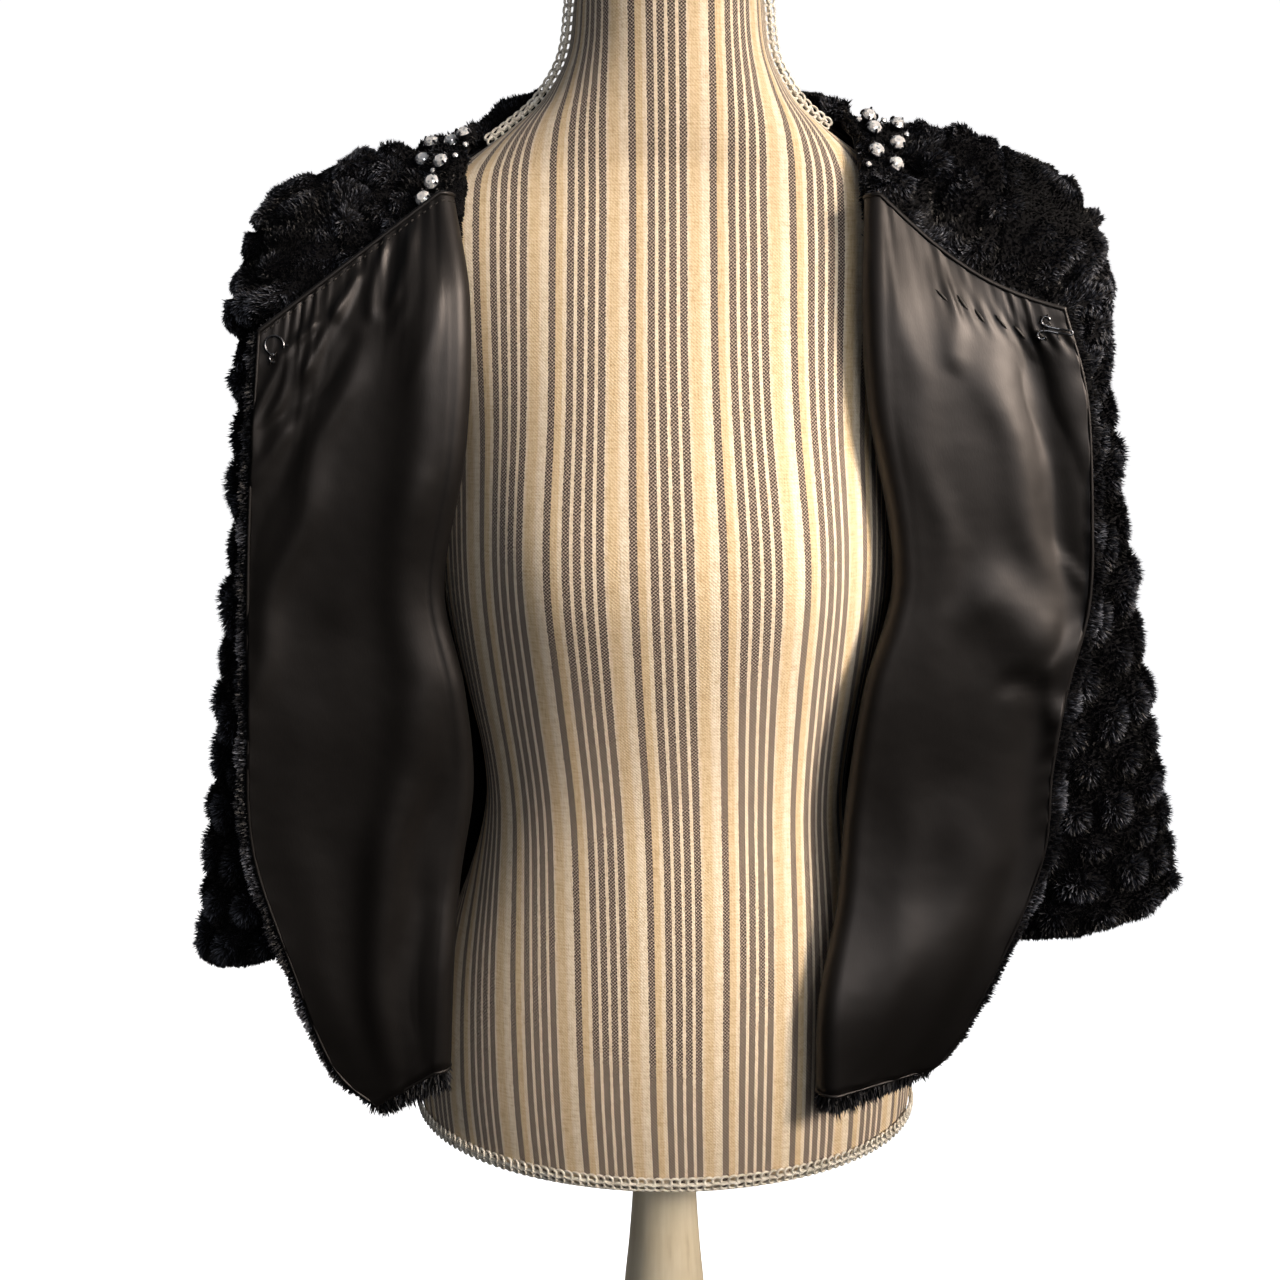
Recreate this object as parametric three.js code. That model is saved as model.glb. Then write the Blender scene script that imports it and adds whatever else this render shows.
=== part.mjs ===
// Faux-fur shrug worn open on a limbless dress form, in millimetres, +Z up.
// The camera of the photo looks along +Y, and the wearer's left is +X.
import * as THREE from "three";

// Main sizes
const FORM_Z = 330; // height of the form's lower edge above the table
const GAP = 0.35; // clearance between pieces that are sewn or laid together
const BACKING = 3.4; // knitted backing with its pile pressed flat
const PILE = 9; // height of a puff over the backing
const LINING = 1.3; // satin with its seam allowance
const LINING_INSET = 11; // fur that shows past the lining's edge
const ARM_B = 52; // half depth of the armhole
const ARM_V = 0.32; // share of a side edge that is armhole
const UNDERARM = [165, 430]; // lowest point of the armhole
const SEAM_ROOM = 4.5; // how far each side of the armhole seam stands back at the underarm

// Form: height, half width, depth in front, depth behind
const FORM = table(["z", "a", "f", "b"], [
  [0, 160, 108, 104], [6, 164, 112, 108], [40, 165, 113, 110], [80, 158, 111, 110],
  [120, 147, 105, 106], [165, 130, 96, 96], [200, 120, 90, 89], [225, 117, 88, 86],
  [255, 120, 91, 87], [290, 128, 99, 90], [325, 136, 110, 95], [355, 141, 119, 99],
  [385, 143, 121, 103], [415, 143, 116, 106], [450, 145, 106, 108], [485, 154, 96, 108],
  [520, 166, 84, 100], [550, 177, 72, 90], [572, 178, 61, 79], [586, 167, 56, 71],
  [597, 147, 54, 66], [606, 129, 55, 63], [617, 112, 57, 63], [629, 97, 59, 64],
  [645, 80, 60, 64], [668, 66, 60, 62], [700, 61, 59, 61], [716, 59, 57, 59],
  [722, 50, 49, 50],
]);

// Side tables, x outward from the middle; heights are over the form's lower edge.
// roll: centre of the turned-back roll, edge: free front edge, from the top (v 0) to the hem (v 1)
const SIDES = {
  right: {
    sign: -1,
    tip: [196, 0, 601],
    neck: [112, -2, 623],
    sag: 0,
    roll: [
      [0, 129, -63, 583, 6], [0.11, 121, -78, 524, 8], [0.28, 125, -80, 441, 8], [0.42, 141, -69, 362, 8],
      [0.54, 131, -65, 300, 8], [0.66, 128, -58, 240, 8], [0.8, 137, -61, 180, 8],
      [0.9, 141, -71, 125, 8], [1, 144, -77, 54, 8],
    ],
    edge: [
      [0, 232, -84, 504], [0.28, 243, -84, 402], [0.5, 249, -84, 298], [0.68, 252, -84, 207],
      [0.8, 230, -84, 128], [0.9, 207, -84, 66], [1, 176, -83, 38],
    ],
    bulge: [[0, 0], [0.3, 2], [0.42, 5], [0.66, 4], [0.85, 8], [1, 10]],
    fold: { top: [0.1, 0.52], low: [0.62, 1.0], high: 7, wide: 0.13 },
    sleeve: [
      [0, 196, 601, 165, 430, 52, 0], [0.06, 222, 590, 171, 421, 54, 1], [0.12, 240, 568, 176, 409, 54, 2],
      [0.18, 250, 540, 180, 394, 53, 3], [0.26, 254, 500, 184, 371, 52, 5], [0.42, 263, 410, 186, 320, 50, 8],
      [0.56, 274, 330, 187, 270, 48, 10], [0.72, 286, 243, 188, 216, 48, 12],
      [0.9, 299, 150, 190, 164, 50, 14], [1, 305, 103, 192, 138, 52, 14],
    ],
  },
  left: {
    sign: 1,
    tip: [196, 0, 611],
    neck: [99, -2, 636],
    sag: 11,
    roll: [
      [0, 116, -64, 582, 6], [0.11, 116, -78, 524, 8], [0.24, 120, -80, 469, 8], [0.42, 139, -74, 368, 8],
      [0.54, 124, -74, 300, 8], [0.66, 116, -70, 228, 8], [0.78, 111, -79, 171, 8],
      [0.9, 98, -101, 115, 8], [1, 97, -108, 58, 8],
    ],
    edge: [
      [0, 221, -84, 518], [0.15, 237, -84, 469], [0.28, 244, -84, 402], [0.42, 245, -84, 351],
      [0.54, 236, -84, 304], [0.66, 230, -84, 256], [0.78, 227, -85, 204], [0.88, 206, -87, 147],
      [0.95, 176, -89, 86], [1, 156, -91, 68],
    ],
    bulge: [[0, 0], [0.3, 2], [0.42, 5], [0.66, 4], [0.85, 18], [1, 26]],
    fold: { top: [0.72, 0.12], low: [0.86, 0.46], high: -6, wide: 0.12 },
    sleeve: [
      [0, 196, 611, 165, 430, 52, 0], [0.06, 224, 602, 172, 423, 54, 1], [0.12, 243, 582, 178, 411, 54, 2],
      [0.18, 253, 552, 183, 397, 53, 3], [0.26, 258, 515, 187, 375, 52, 5], [0.42, 273, 430, 192, 325, 50, 8],
      [0.56, 291, 345, 197, 276, 48, 10], [0.72, 309, 257, 203, 222, 48, 12],
      [0.9, 325, 185, 208, 160, 50, 14], [1, 331, 154, 210, 122, 52, 14],
    ],
  },
};

// Side seam below the underarm, and the middle of the back, from the top (v 0) to the hem (v 1)
const SEAM = [
  [0.32, 160.5, 0, 430], [0.4, 157, 8, 392], [0.55, 152, 10, 305], [0.68, 149, 10, 235],
  [0.8, 155, 10, 165], [0.9, 164, 10, 105], [1, 172, 10, 45],
];
const MIDDLE = [
  [0, 0, 78, 668], [0.06, 0, 87, 632], [0.14, 0, 110, 575], [0.24, 0, 123, 510], [0.32, 0, 125, 462],
  [0.55, 0, 124, 320], [0.8, 0, 125, 165], [1, 0, 128, 42],
];

// Crystal stones: across and down from the middle of each cluster, and diameter
const STONES = {
  right: [
    [-5, -8, 9], [13, -13, 9], [7, -6, 9], [-10, 5, 9], [2, 6, 9], [-4, 18, 9], [-9, 29, 9],
    [16, -4, 3.5], [-3, 12, 3.5], [10, 2, 3.5],
  ],
  left: [
    [-9, -16, 9], [-6, -7, 9], [8, -8, 9], [8, 3, 9], [-5, 7, 9], [7, 15, 9],
    [-14, -12, 3.5], [0, -12, 3.5], [-13, 1, 3.5], [14, -3, 3.5], [-9, 15, 3.5],
  ],
};
const TRIM = { right: [-132, -30, 607], left: [125, -25, 620] }; // middle of each cluster
const TRIM_LIFT = { right: 5, left: 7.9 }; // from the panel's inner face to the backing of the stones

function table(names, rows) {
  return rows.map((row) => Object.fromEntries(names.map((name, i) => [name, row[i]])));
}

// Smooth curve through rows whose first number is the place along it
function along(rows, t) {
  const last = rows.length - 1;
  let i = 0;
  while (i < last - 1 && t > rows[i + 1][0]) i++;
  const h = rows[i + 1][0] - rows[i][0];
  const s = Math.min(1, Math.max(0, (t - rows[i][0]) / h));
  const slope = (k, c) => {
    const a = rows[Math.max(0, k - 1)];
    const b = rows[Math.min(last, k + 1)];
    return (b[c] - a[c]) / (b[0] - a[0]);
  };
  return rows[i].slice(1).map((_, n) => {
    const c = n + 1;
    const p = rows[i][c];
    const q = rows[i + 1][c];
    const s2 = s * s;
    const s3 = s2 * s;
    return (
      (2 * s3 - 3 * s2 + 1) * p +
      (s3 - 2 * s2 + s) * h * slope(i, c) +
      (3 * s2 - 2 * s3) * q +
      (s3 - s2) * h * slope(i + 1, c)
    );
  });
}

const mix = (a, b, w) => a.map((x, i) => x + (b[i] - x) * w);
const clamp = (x, low = 0, high = 1) => Math.min(high, Math.max(low, x));
const ease = (x) => clamp(x) ** 2 * (3 - 2 * clamp(x));

// Edge of a body panel: half of the armhole, then the side seam. way is -1 in front, 1 behind
function sideEdge(side, v, way) {
  if (v >= ARM_V) {
    const [x, y, z] = along(SEAM, v);
    return [x, y + way * GAP, z];
  }
  const angle = (Math.PI * v) / ARM_V;
  const [tx, , tz] = side.tip;
  const c = Math.cos(angle);
  return [
    (tx + UNDERARM[0]) / 2 + ((tx - UNDERARM[0]) / 2) * c - (SEAM_ROOM * (1 - c)) / 2,
    way * (GAP + ARM_B * Math.sin(angle)),
    (tz + UNDERARM[1]) / 2 + ((tz - UNDERARM[1]) / 2) * c,
  ];
}

// Face between fur and lining of a front; u runs from the side over the roll to the free edge
const ROLL_FROM = 0.42;
const ROLL_TO = 0.5;
function frontFace(side, u, v) {
  const [cx, cy, cz, r] = along(side.roll, v);
  const edge = along(side.edge, v);
  const start = sideEdge(side, v, -1);
  const toStart = Math.atan2(start[1] - cy, start[0] - cx) + Math.PI / 2;
  const toEdge = Math.atan2(edge[1] - cy, edge[0] - cx) + (3 * Math.PI) / 2;
  const onRoll = (angle) => [cx + r * Math.cos(angle), cy + r * Math.sin(angle), cz];
  if (u > ROLL_TO) {
    const w = (u - ROLL_TO) / (1 - ROLL_TO);
    const p = mix(onRoll(toEdge), edge, w);
    const k = clamp((v - side.fold.top[1]) / (side.fold.low[1] - side.fold.top[1]));
    const at = side.fold.top[0] + (side.fold.low[0] - side.fold.top[0]) * k;
    const fade = ease(v / 0.12) * ease((1.02 - v) / 0.3) * Math.sin(Math.PI * w) ** 0.5;
    p[1] -= side.fold.high * fade * Math.exp(-(((w - at) / side.fold.wide) ** 2));
    p[2] -= side.sag * Math.sin(Math.PI * w) * (1 - ease(v / 0.3));
    return p;
  }
  if (u >= ROLL_FROM) {
    const w = (u - ROLL_FROM) / (ROLL_TO - ROLL_FROM);
    return onRoll(toStart + (toEdge - toStart) * w);
  }
  const w = u / ROLL_FROM;
  const end = onRoll(toStart);
  const p = mix(start, end, w);
  const [dx, dy] = [start[0] - end[0], start[1] - end[1]];
  const long = Math.hypot(dx, dy);
  const bulge = along(side.bulge, v)[0] * Math.sin(Math.PI * w);
  p[0] += (bulge * dy) / long;
  p[1] -= (bulge * dx) / long;
  const lift = 1 - ease(v / 0.22);
  const rollTop = onRollTop(side);
  const top = w < 0.6 ? mix(side.tip, side.neck, w / 0.6) : mix(side.neck, rollTop, (w - 0.6) / 0.4);
  top[1] -= GAP;
  const plain = mix(sideEdge(side, 0, -1), rollTop, w);
  const k = lift * ease(Math.min(w, 1 - w) * 8);
  return overForm(p.map((x, i) => x + (top[i] - plain[i]) * k));
}

// Share of the way from the form's axis to its surface, grown by the room that the cloth needs
const ROOM = 9.6;
function reach(x, y, z) {
  const i = Math.max(1, FORM.findIndex((row) => row.z > z));
  const [p, q] = [FORM[i - 1], FORM[i]];
  const k = (z - p.z) / (q.z - p.z);
  const side = y < 0 ? "f" : "b";
  return Math.hypot(x / (p.a + (q.a - p.a) * k + ROOM), y / (p[side] + (q[side] - p[side]) * k + ROOM));
}

// The same point, moved straight out of the form where it would sink into it
function overForm([x, y, z]) {
  for (let n = 0; n < 4; n++) {
    const near = reach(x, y, z);
    if (near >= 1) break;
    const g = [reach(x + 1, y, z) - near, reach(x, y + 1, z) - near, reach(x, y, z + 1) - near];
    const k = (1 - near) / (g[0] ** 2 + g[1] ** 2 + g[2] ** 2);
    [x, y, z] = [x + g[0] * k, y + g[1] * k, z + g[2] * k];
  }
  return [x, y, z];
}

// Start of the roll at the top of a front, where the neckline edge turns over
function onRollTop(side) {
  const [cx, cy, cz, r] = along(side.roll, 0);
  const start = sideEdge(side, 0, -1);
  const angle = Math.atan2(start[1] - cy, start[0] - cx) + Math.PI / 2;
  return [cx + r * Math.cos(angle), cy + r * Math.sin(angle), cz];
}

// Top edge of the back on one side: from the middle of the neck (0) to the shoulder tip (1)
function backTop(side, u) {
  const [nx, , nz] = side.neck;
  const [tx, , tz] = side.tip;
  const rows = [
    [0, 0, 78, 668], [0.18, 45, 72, 668], [0.34, 83, 50, 662], [0.48, nx - 5, 24, nz + 17],
    [0.62, nx, GAP, nz], [0.81, (nx + tx) / 2, GAP, (nz + tz) / 2], [1, tx, GAP, tz],
  ];
  return along(rows, u);
}

// Face between fur and lining of the back; u runs from -1 at the wearer's right to 1
function backFace(u, v) {
  const side = u < 0 ? SIDES.right : SIDES.left;
  const w = Math.abs(u);
  const edge = sideEdge(side, v, 1);
  const middle = along(MIDDLE, v);
  const s = Math.sin((w * Math.PI) / 2);
  const c = Math.cos((w * Math.PI) / 2) ** 0.85;
  const p = [edge[0] * s, edge[1] + (middle[1] - edge[1]) * c, edge[2] + (middle[2] - edge[2]) * c];
  const edge0 = sideEdge(side, 0, 1);
  const plain = [edge0[0] * s, edge0[1] + (78 - edge0[1]) * c, edge0[2] + (668 - edge0[2]) * c];
  const top = backTop(side, w);
  const lift = (1 - ease(v / 0.26)) ** 1.5;
  const q = overForm(p.map((x, i) => x + (top[i] - plain[i]) * lift));
  return [q[0] * side.sign, q[1], q[2]];
}

// Sleeve's inner face; u goes round from the shoulder line over the front, v from the armhole to the cuff
function sleeveFace(side, u, v) {
  const [ox, oz, ix, iz, b, yc] = along(side.sleeve, v);
  const c = Math.cos(2 * Math.PI * u);
  const s = Math.sin(2 * Math.PI * u);
  return [(ox + ix) / 2 + ((ox - ix) / 2) * c, yc - b * s, (oz + iz) / 2 + ((oz - iz) / 2) * c];
}

// Puffs of the pile, 0 in a groove to 1 on top; i and j count half puffs, every other row is shifted
function puff(i, j) {
  const row = Math.floor(j / 2);
  const even = (k) => (((Math.round(k) % 2) + 2) % 2 === 0 ? 0 : 1);
  const uneven = 0.16 * Math.sin(i * 12.9898 + row * 78.233 + 3);
  return clamp(even(i + row) * even(j) * (0.86 + uneven) + (1 - even(i + row)) * even(j) * 0.42 + 0.12);
}

// Points of a face moved out along its normal; flip turns the normal over
function gridOf(face, us, vs, offset, flip = 1, loop = false) {
  const step = 1e-3;
  return vs.map((v, j) =>
    us.map((u, i) => {
      const u0 = loop ? u - step : Math.max(us[0], u - step);
      const u1 = loop ? u + step : Math.min(us[us.length - 1], u + step);
      const [v0, v1] = [Math.max(0, v - step), Math.min(1, v + step)];
      const a = new THREE.Vector3(...face(u1, v)).sub(new THREE.Vector3(...face(u0, v)));
      const b = new THREE.Vector3(...face(u, v1)).sub(new THREE.Vector3(...face(u, v0)));
      const n = a.cross(b).normalize().multiplyScalar(flip * offset(u, v, i, j));
      return new THREE.Vector3(...face(u, v)).add(n);
    }),
  );
}

// One closed body between two grids of points that share their borders
function between(outer, inner, us, vs, inU, inV, loop = false, crossed = false) {
  const points = [];
  const faces = [];
  const store = (grid) => grid.map((row) => (loop ? row.slice(0, -1) : row).map((p) => points.push(p) - 1));
  const [a, b] = [store(outer), store(inner)];
  const at = (grid, i, j) => grid[j][loop ? i % grid[j].length : i];
  const skin = (grid, nu, nv, turned) => {
    for (let j = 0; j < nv; j++)
      for (let i = 0; i < nu; i++) {
        const q = [at(grid, i, j), at(grid, i + 1, j), at(grid, i + 1, j + 1), at(grid, i, j + 1)];
        const pair = turned || !crossed || (i + j) % 2 ? [[0, 1, 2], [0, 2, 3]] : [[0, 1, 3], [1, 2, 3]];
        pair.forEach((t) => faces.push((turned ? t.slice().reverse() : t).map((k) => q[k])));
      }
  };
  skin(a, us.length - 1, vs.length - 1, false);
  skin(b, inU.length - 1, inV.length - 1, true);
  const rim = (p, ps, q, qs, turned) => {
    let [i, j] = [0, 0];
    const put = (...t) => faces.push(turned ? t.reverse() : t);
    while (i < ps.length - 1 || j < qs.length - 1)
      if (j === qs.length - 1 || (i < ps.length - 1 && ps[i + 1] <= qs[j + 1])) {
        put(p(i + 1), p(i), q(j));
        i++;
      } else {
        put(p(i), q(j), q(j + 1));
        j++;
      }
  };
  const [lastV, lastInV] = [vs.length - 1, inV.length - 1];
  rim((i) => at(a, i, 0), us, (i) => at(b, i, 0), inU, false);
  rim((i) => at(a, i, lastV), us, (i) => at(b, i, lastInV), inU, true);
  if (!loop) {
    rim((j) => at(a, us.length - 1, j), vs, (j) => at(b, inU.length - 1, j), inV, false);
    rim((j) => at(a, 0, j), vs, (j) => at(b, 0, j), inV, true);
  }
  return solid(points, faces);
}

// Indexed geometry with its faces turned outwards
function solid(points, faces) {
  let volume = 0;
  faces.forEach(([a, b, c]) => {
    volume += points[a].dot(new THREE.Vector3().crossVectors(points[b], points[c]));
  });
  const geometry = new THREE.BufferGeometry();
  geometry.setAttribute("position", new THREE.Float32BufferAttribute(points.flatMap((p) => p.toArray()), 3));
  geometry.setIndex(faces.flatMap((t) => (volume < 0 ? [t[0], t[2], t[1]] : t)));
  geometry.computeVertexNormals();
  return geometry;
}

const spread = (n, from = 0, to = 1) => Array.from({ length: n + 1 }, (_, i) => from + ((to - from) * i) / n);

// Rings of equal count, with the ends closed by a fan
function rings(list, closed = false) {
  const n = list[0].length;
  const points = list.flat();
  const faces = [];
  const last = list.length - (closed ? 0 : 1);
  for (let j = 0; j < last; j++)
    for (let i = 0; i < n; i++) {
      const k = (j + 1) % list.length;
      const [a, b] = [j * n + i, j * n + ((i + 1) % n)];
      const [c, d] = [k * n + ((i + 1) % n), k * n + i];
      faces.push([a, b, c], [a, c, d]);
    }
  if (!closed)
    [0, list.length - 1].forEach((j, end) => {
      const middle = list[j].reduce((sum, p) => sum.clone().add(p), new THREE.Vector3()).divideScalar(n);
      points.push(middle);
      for (let i = 0; i < n; i++) {
        const t = [j * n + i, points.length - 1, j * n + ((i + 1) % n)];
        faces.push(end ? t.reverse() : t);
      }
    });
  return solid(points, faces);
}

// Form's outline at a height, at an angle from +X; grow moves it out
function formPoint(row, angle, grow = 0) {
  const c = Math.cos(angle);
  const s = Math.sin(angle);
  const bust = Math.exp(-(((row.z - 375) / 55) ** 2)) * Math.exp(-(((Math.abs(c) - 0.5) / 0.22) ** 2));
  const depth = s < 0 ? row.f : row.b;
  return new THREE.Vector3((row.a + grow) * c, (depth + grow) * s - (s < 0 ? 5 * bust : 0), row.z);
}

// Flat band swept along points; wide is its direction across, out is away from what it lies on
function band(path, width, thick, wide, out, closed = false) {
  const shape = [[-0.5, 0], [0.5, 0], [0.42, 0.75], [0, 1], [-0.42, 0.75]];
  return rings(
    path.map((p, i) =>
      shape.map(([across, up]) =>
        p.clone().addScaledVector(wide(i), across * width).addScaledVector(out(i), up * thick),
      ),
    ),
    closed,
  );
}

// Round wire along points, with closed ends
function wire(path, radius, sides = 5) {
  const list = path.map((p, i) => {
    const a = path[Math.max(0, i - 1)];
    const b = path[Math.min(path.length - 1, i + 1)];
    const t = b.clone().sub(a).normalize();
    const side = new THREE.Vector3().crossVectors(t, new THREE.Vector3(0.15, 1, 0.1)).normalize();
    const up = new THREE.Vector3().crossVectors(side, t);
    return spread(sides)
      .slice(0, -1)
      .map((k) =>
        p
          .clone()
          .addScaledVector(side, radius * Math.cos(2 * Math.PI * k))
          .addScaledVector(up, radius * Math.sin(2 * Math.PI * k)),
      );
  });
  return rings(list);
}

// Fur thickness of a body panel: flat towards its seams and the roll, puffed elsewhere
const furDepth = (share, i, j) => BACKING + PILE * share * puff(i, j);

function frontShare(side, u, v) {
  const roll = u < ROLL_FROM ? (ROLL_FROM - u) / 0.2 : u > ROLL_TO ? (u - ROLL_TO) / 0.13 : 0;
  const seam = ease(u / 0.12) * ease(v / 0.1 + (u > ROLL_TO ? 0.5 : 0));
  const [u0, v0] = side.trim;
  const pressed = ease((Math.hypot((u - u0) / 0.11, (v - v0) / 0.085) - 1) / 0.7);
  return ease(roll) * seam * pressed * (u < ROLL_TO ? 0.75 : 1);
}

const FRONT_U = [
  ...spread(5, 0, ROLL_FROM),
  ...spread(4, ROLL_FROM, ROLL_TO).slice(1),
  ...spread(10, ROLL_TO, 1).slice(1),
];
const FRONT_V = spread(30);
const insetU = LINING_INSET / 125 / 2;
const FRONT_IN_U = [
  ...spread(5, 0, ROLL_FROM),
  ...spread(4, ROLL_FROM, ROLL_TO).slice(1),
  ...spread(4, ROLL_TO, 1 - insetU).slice(1),
  1,
];
const insetV = LINING_INSET / 540;
const FRONT_IN_V = [0, insetV / 2, 1 / 30, 1 / 15, ...spread(9, 0.13, 0.92), 1 - insetV, 1];

function mirrored(side, face) {
  return (u, v) => {
    const [x, y, z] = face(side, u, v);
    return [x * side.sign, y, z];
  };
}

function front(side) {
  const face = mirrored(side, frontFace);
  const out = side.sign;
  const depth = (u, v, i, j) => furDepth(frontShare(side, u, v), i, j);
  const outer = gridOf(face, FRONT_U, FRONT_V, depth, out);
  const inner = gridOf(face, FRONT_IN_U, FRONT_IN_V, () => GAP / 2, out);
  return between(outer, inner, FRONT_U, FRONT_V, FRONT_IN_U, FRONT_IN_V, false, true);
}

function frontLining(side) {
  const face = mirrored(side, frontFace);
  const us = FRONT_IN_U.slice(0, -1);
  const vs = FRONT_IN_V.slice(1, -1);
  const near = gridOf(face, us, vs, () => GAP / 2, -side.sign);
  const far = gridOf(face, us, vs, () => GAP / 2 + LINING, -side.sign);
  return between(far, near, us, vs, us, vs);
}

const BACK_U = spread(30, -1, 1);
const BACK_V = spread(34);
const BACK_IN_U = spread(15, -1, 1);
const BACK_IN_V = [0, insetV, ...spread(4, 1 / 17, 5 / 17), ...spread(5, 7 / 17, 16 / 17), 1 - insetV, 1];

function back() {
  const share = (u, v) => ease((1 - Math.abs(u)) / 0.12) * ease(v / 0.07 + 0.3);
  const depth = (u, v, i, j) => furDepth(share(u, v), i, j);
  const outer = gridOf(backFace, BACK_U, BACK_V, depth);
  const inner = gridOf(backFace, BACK_IN_U, BACK_IN_V, () => GAP / 2);
  return between(outer, inner, BACK_U, BACK_V, BACK_IN_U, BACK_IN_V, false, true);
}

function backLining() {
  const vs = BACK_IN_V.slice(1, -1);
  const near = gridOf(backFace, BACK_IN_U, vs, () => GAP / 2, -1);
  const far = gridOf(backFace, BACK_IN_U, vs, () => GAP / 2 + LINING, -1);
  return between(far, near, BACK_IN_U, vs, BACK_IN_U, vs);
}

const SLEEVE_ROUND = 26;
const GIMP_Y = 9; // how far in front of the shoulder line the neck's braid lies

function sleeve(side) {
  const face = mirrored(side, (s, u, v) => {
    const [x, y, z] = sleeveFace(s, u, v);
    return [x + (2 * GAP + (SEAM_ROOM * (1 - Math.cos(2 * Math.PI * u))) / 2) * (1 - v) ** 3, y, z];
  });
  const us = spread(SLEEVE_ROUND);
  const vs = spread(32);
  const inU = spread(SLEEVE_ROUND / 2);
  const inV = [0, 0.05, 0.1, 0.16, 0.23, 0.33, 0.46, 0.6, 0.74, 0.88, 1];
  const share = (u, v) => {
    const under = Math.max(0, -Math.cos(2 * Math.PI * u));
    return ease(v / 0.07) * (1 - 0.75 * under * (1 - ease((v - 0.05) / 0.35)));
  };
  const depth = (u, v, i, j) => furDepth(share(u, v), i % SLEEVE_ROUND, j);
  const outer = gridOf(face, us, vs, depth, side.sign, true);
  const inner = gridOf(face, inU, inV, () => GAP / 2, side.sign, true);
  return between(outer, inner, us, vs, inU, inV, true, true);
}

function torso() {
  return rings(FORM.map((row) => spread(22).slice(0, -1).map((k) => formPoint(row, 2 * Math.PI * k))));
}

function baseGimp() {
  const row = { ...FORM[1], z: 9 };
  const path = spread(48).slice(0, -1).map((k) => formPoint(row, 2 * Math.PI * k, 1));
  const out = (i) => new THREE.Vector3(path[i].x, path[i].y, 0).normalize();
  return band(path, 9, 3, () => new THREE.Vector3(0, 0, 1), out, true);
}

// Braid down one side of the neck to where the garment covers it
function neckGimp(side) {
  const low = side.neck[0] - 6;
  const rows = FORM.filter((row) => row.z >= 600 && row.z <= 716 && row.a < low).map((row) => [row.a, row.z]);
  const edge = FORM.filter((row) => row.z >= 600 && row.a >= low).pop();
  const next = FORM.find((row) => row.z > edge.z);
  const k = (edge.a - low) / (edge.a - next.a);
  rows.unshift([low, edge.z + (next.z - edge.z) * k]);
  const curve = new THREE.CatmullRomCurve3(rows.map(([x, z]) => new THREE.Vector3(x * side.sign, 0, z)));
  const path = curve.getPoints(14);
  const outs = path.map((_, i) => {
    const t = curve.getTangent(i / 14);
    return new THREE.Vector3(t.z, 0, -t.x).multiplyScalar(side.sign).normalize();
  });
  // Brought round to the front of the shoulder line, square to the rounded neck
  const wide = path.map((p, i) => {
    const turn = Math.atan((GIMP_Y * Math.abs(p.x)) / 60 ** 2);
    p.x *= Math.sqrt(1 - (GIMP_Y / 60) ** 2);
    p.y = -GIMP_Y;
    outs[i].multiplyScalar(Math.cos(turn));
    outs[i].y = -Math.sin(turn);
    const t = curve.getTangent(i / 14);
    return new THREE.Vector3().crossVectors(t, outs[i]).normalize();
  });
  path.forEach((p, i) => p.addScaledVector(outs[i], 0.7));
  return band(path, 9, 3, (i) => wide[i], (i) => outs[i]);
}

// Turned solid from rings of radius and height
function lathe(rows, n) {
  const angles = spread(n, 0, 2 * Math.PI).slice(0, -1);
  const point = (r, z, a) => new THREE.Vector3(r * Math.cos(a), r * Math.sin(a), z);
  return rings(rows.map(([r, z]) => angles.map((a) => point(r, z, a))));
}

// Radius and height of each ring
const POLE = [
  [20, -0.4], [20.5, -40], [22.6, -78], [25, -110], [27.8, -139], [30, -180], [33, -225], [40, -265],
  [56, -302.6],
];
const FOOT = [[146, -330], [150, -327], [150, -314], [146, -309], [120, -305.5], [70, -303.2], [58, -303]];

// Frame on a front's lining near its neck corner: origin, across to the free edge, down, towards the camera
function cornerFrame(side, u, v) {
  const face = mirrored(side, frontFace);
  const p = new THREE.Vector3(...face(u, v));
  const across = new THREE.Vector3(...face(u + 0.02, v)).sub(new THREE.Vector3(...face(u - 0.02, v)));
  across.normalize();
  const down = new THREE.Vector3(...face(u, v + 0.02)).sub(new THREE.Vector3(...face(u, v - 0.01)));
  down.addScaledVector(across, -down.dot(across)).normalize();
  const up = new THREE.Vector3().crossVectors(across, down).normalize();
  if (up.y > 0) up.negate();
  return (x, y, z) => p.clone().addScaledVector(across, x).addScaledVector(down, y).addScaledVector(up, z);
}

// Points of an arc; angles in degrees
function arc(cx, cy, r, from, to, n) {
  const angles = spread(n, (from * Math.PI) / 180, (to * Math.PI) / 180);
  return angles.map((a) => [cx + r * Math.cos(a), cy + r * Math.sin(a)]);
}

const WIRE = 0.65;
const WIRE_UP = 2.65;

// Loop of wire with two sewing rings, lying on the right front's lining
function eye() {
  const to = cornerFrame(SIDES.right, 0.93, 0.045);
  const flat = [
    ...arc(-4.3, 4.6, 2.3, 20, 300, 7),
    ...arc(0, -1, 5.2, 125, 415, 12),
    ...arc(4.3, 4.6, 2.3, 240, 520, 7),
  ];
  return wire(flat.map(([x, y]) => to(x, y, WIRE_UP)), WIRE);
}

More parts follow.
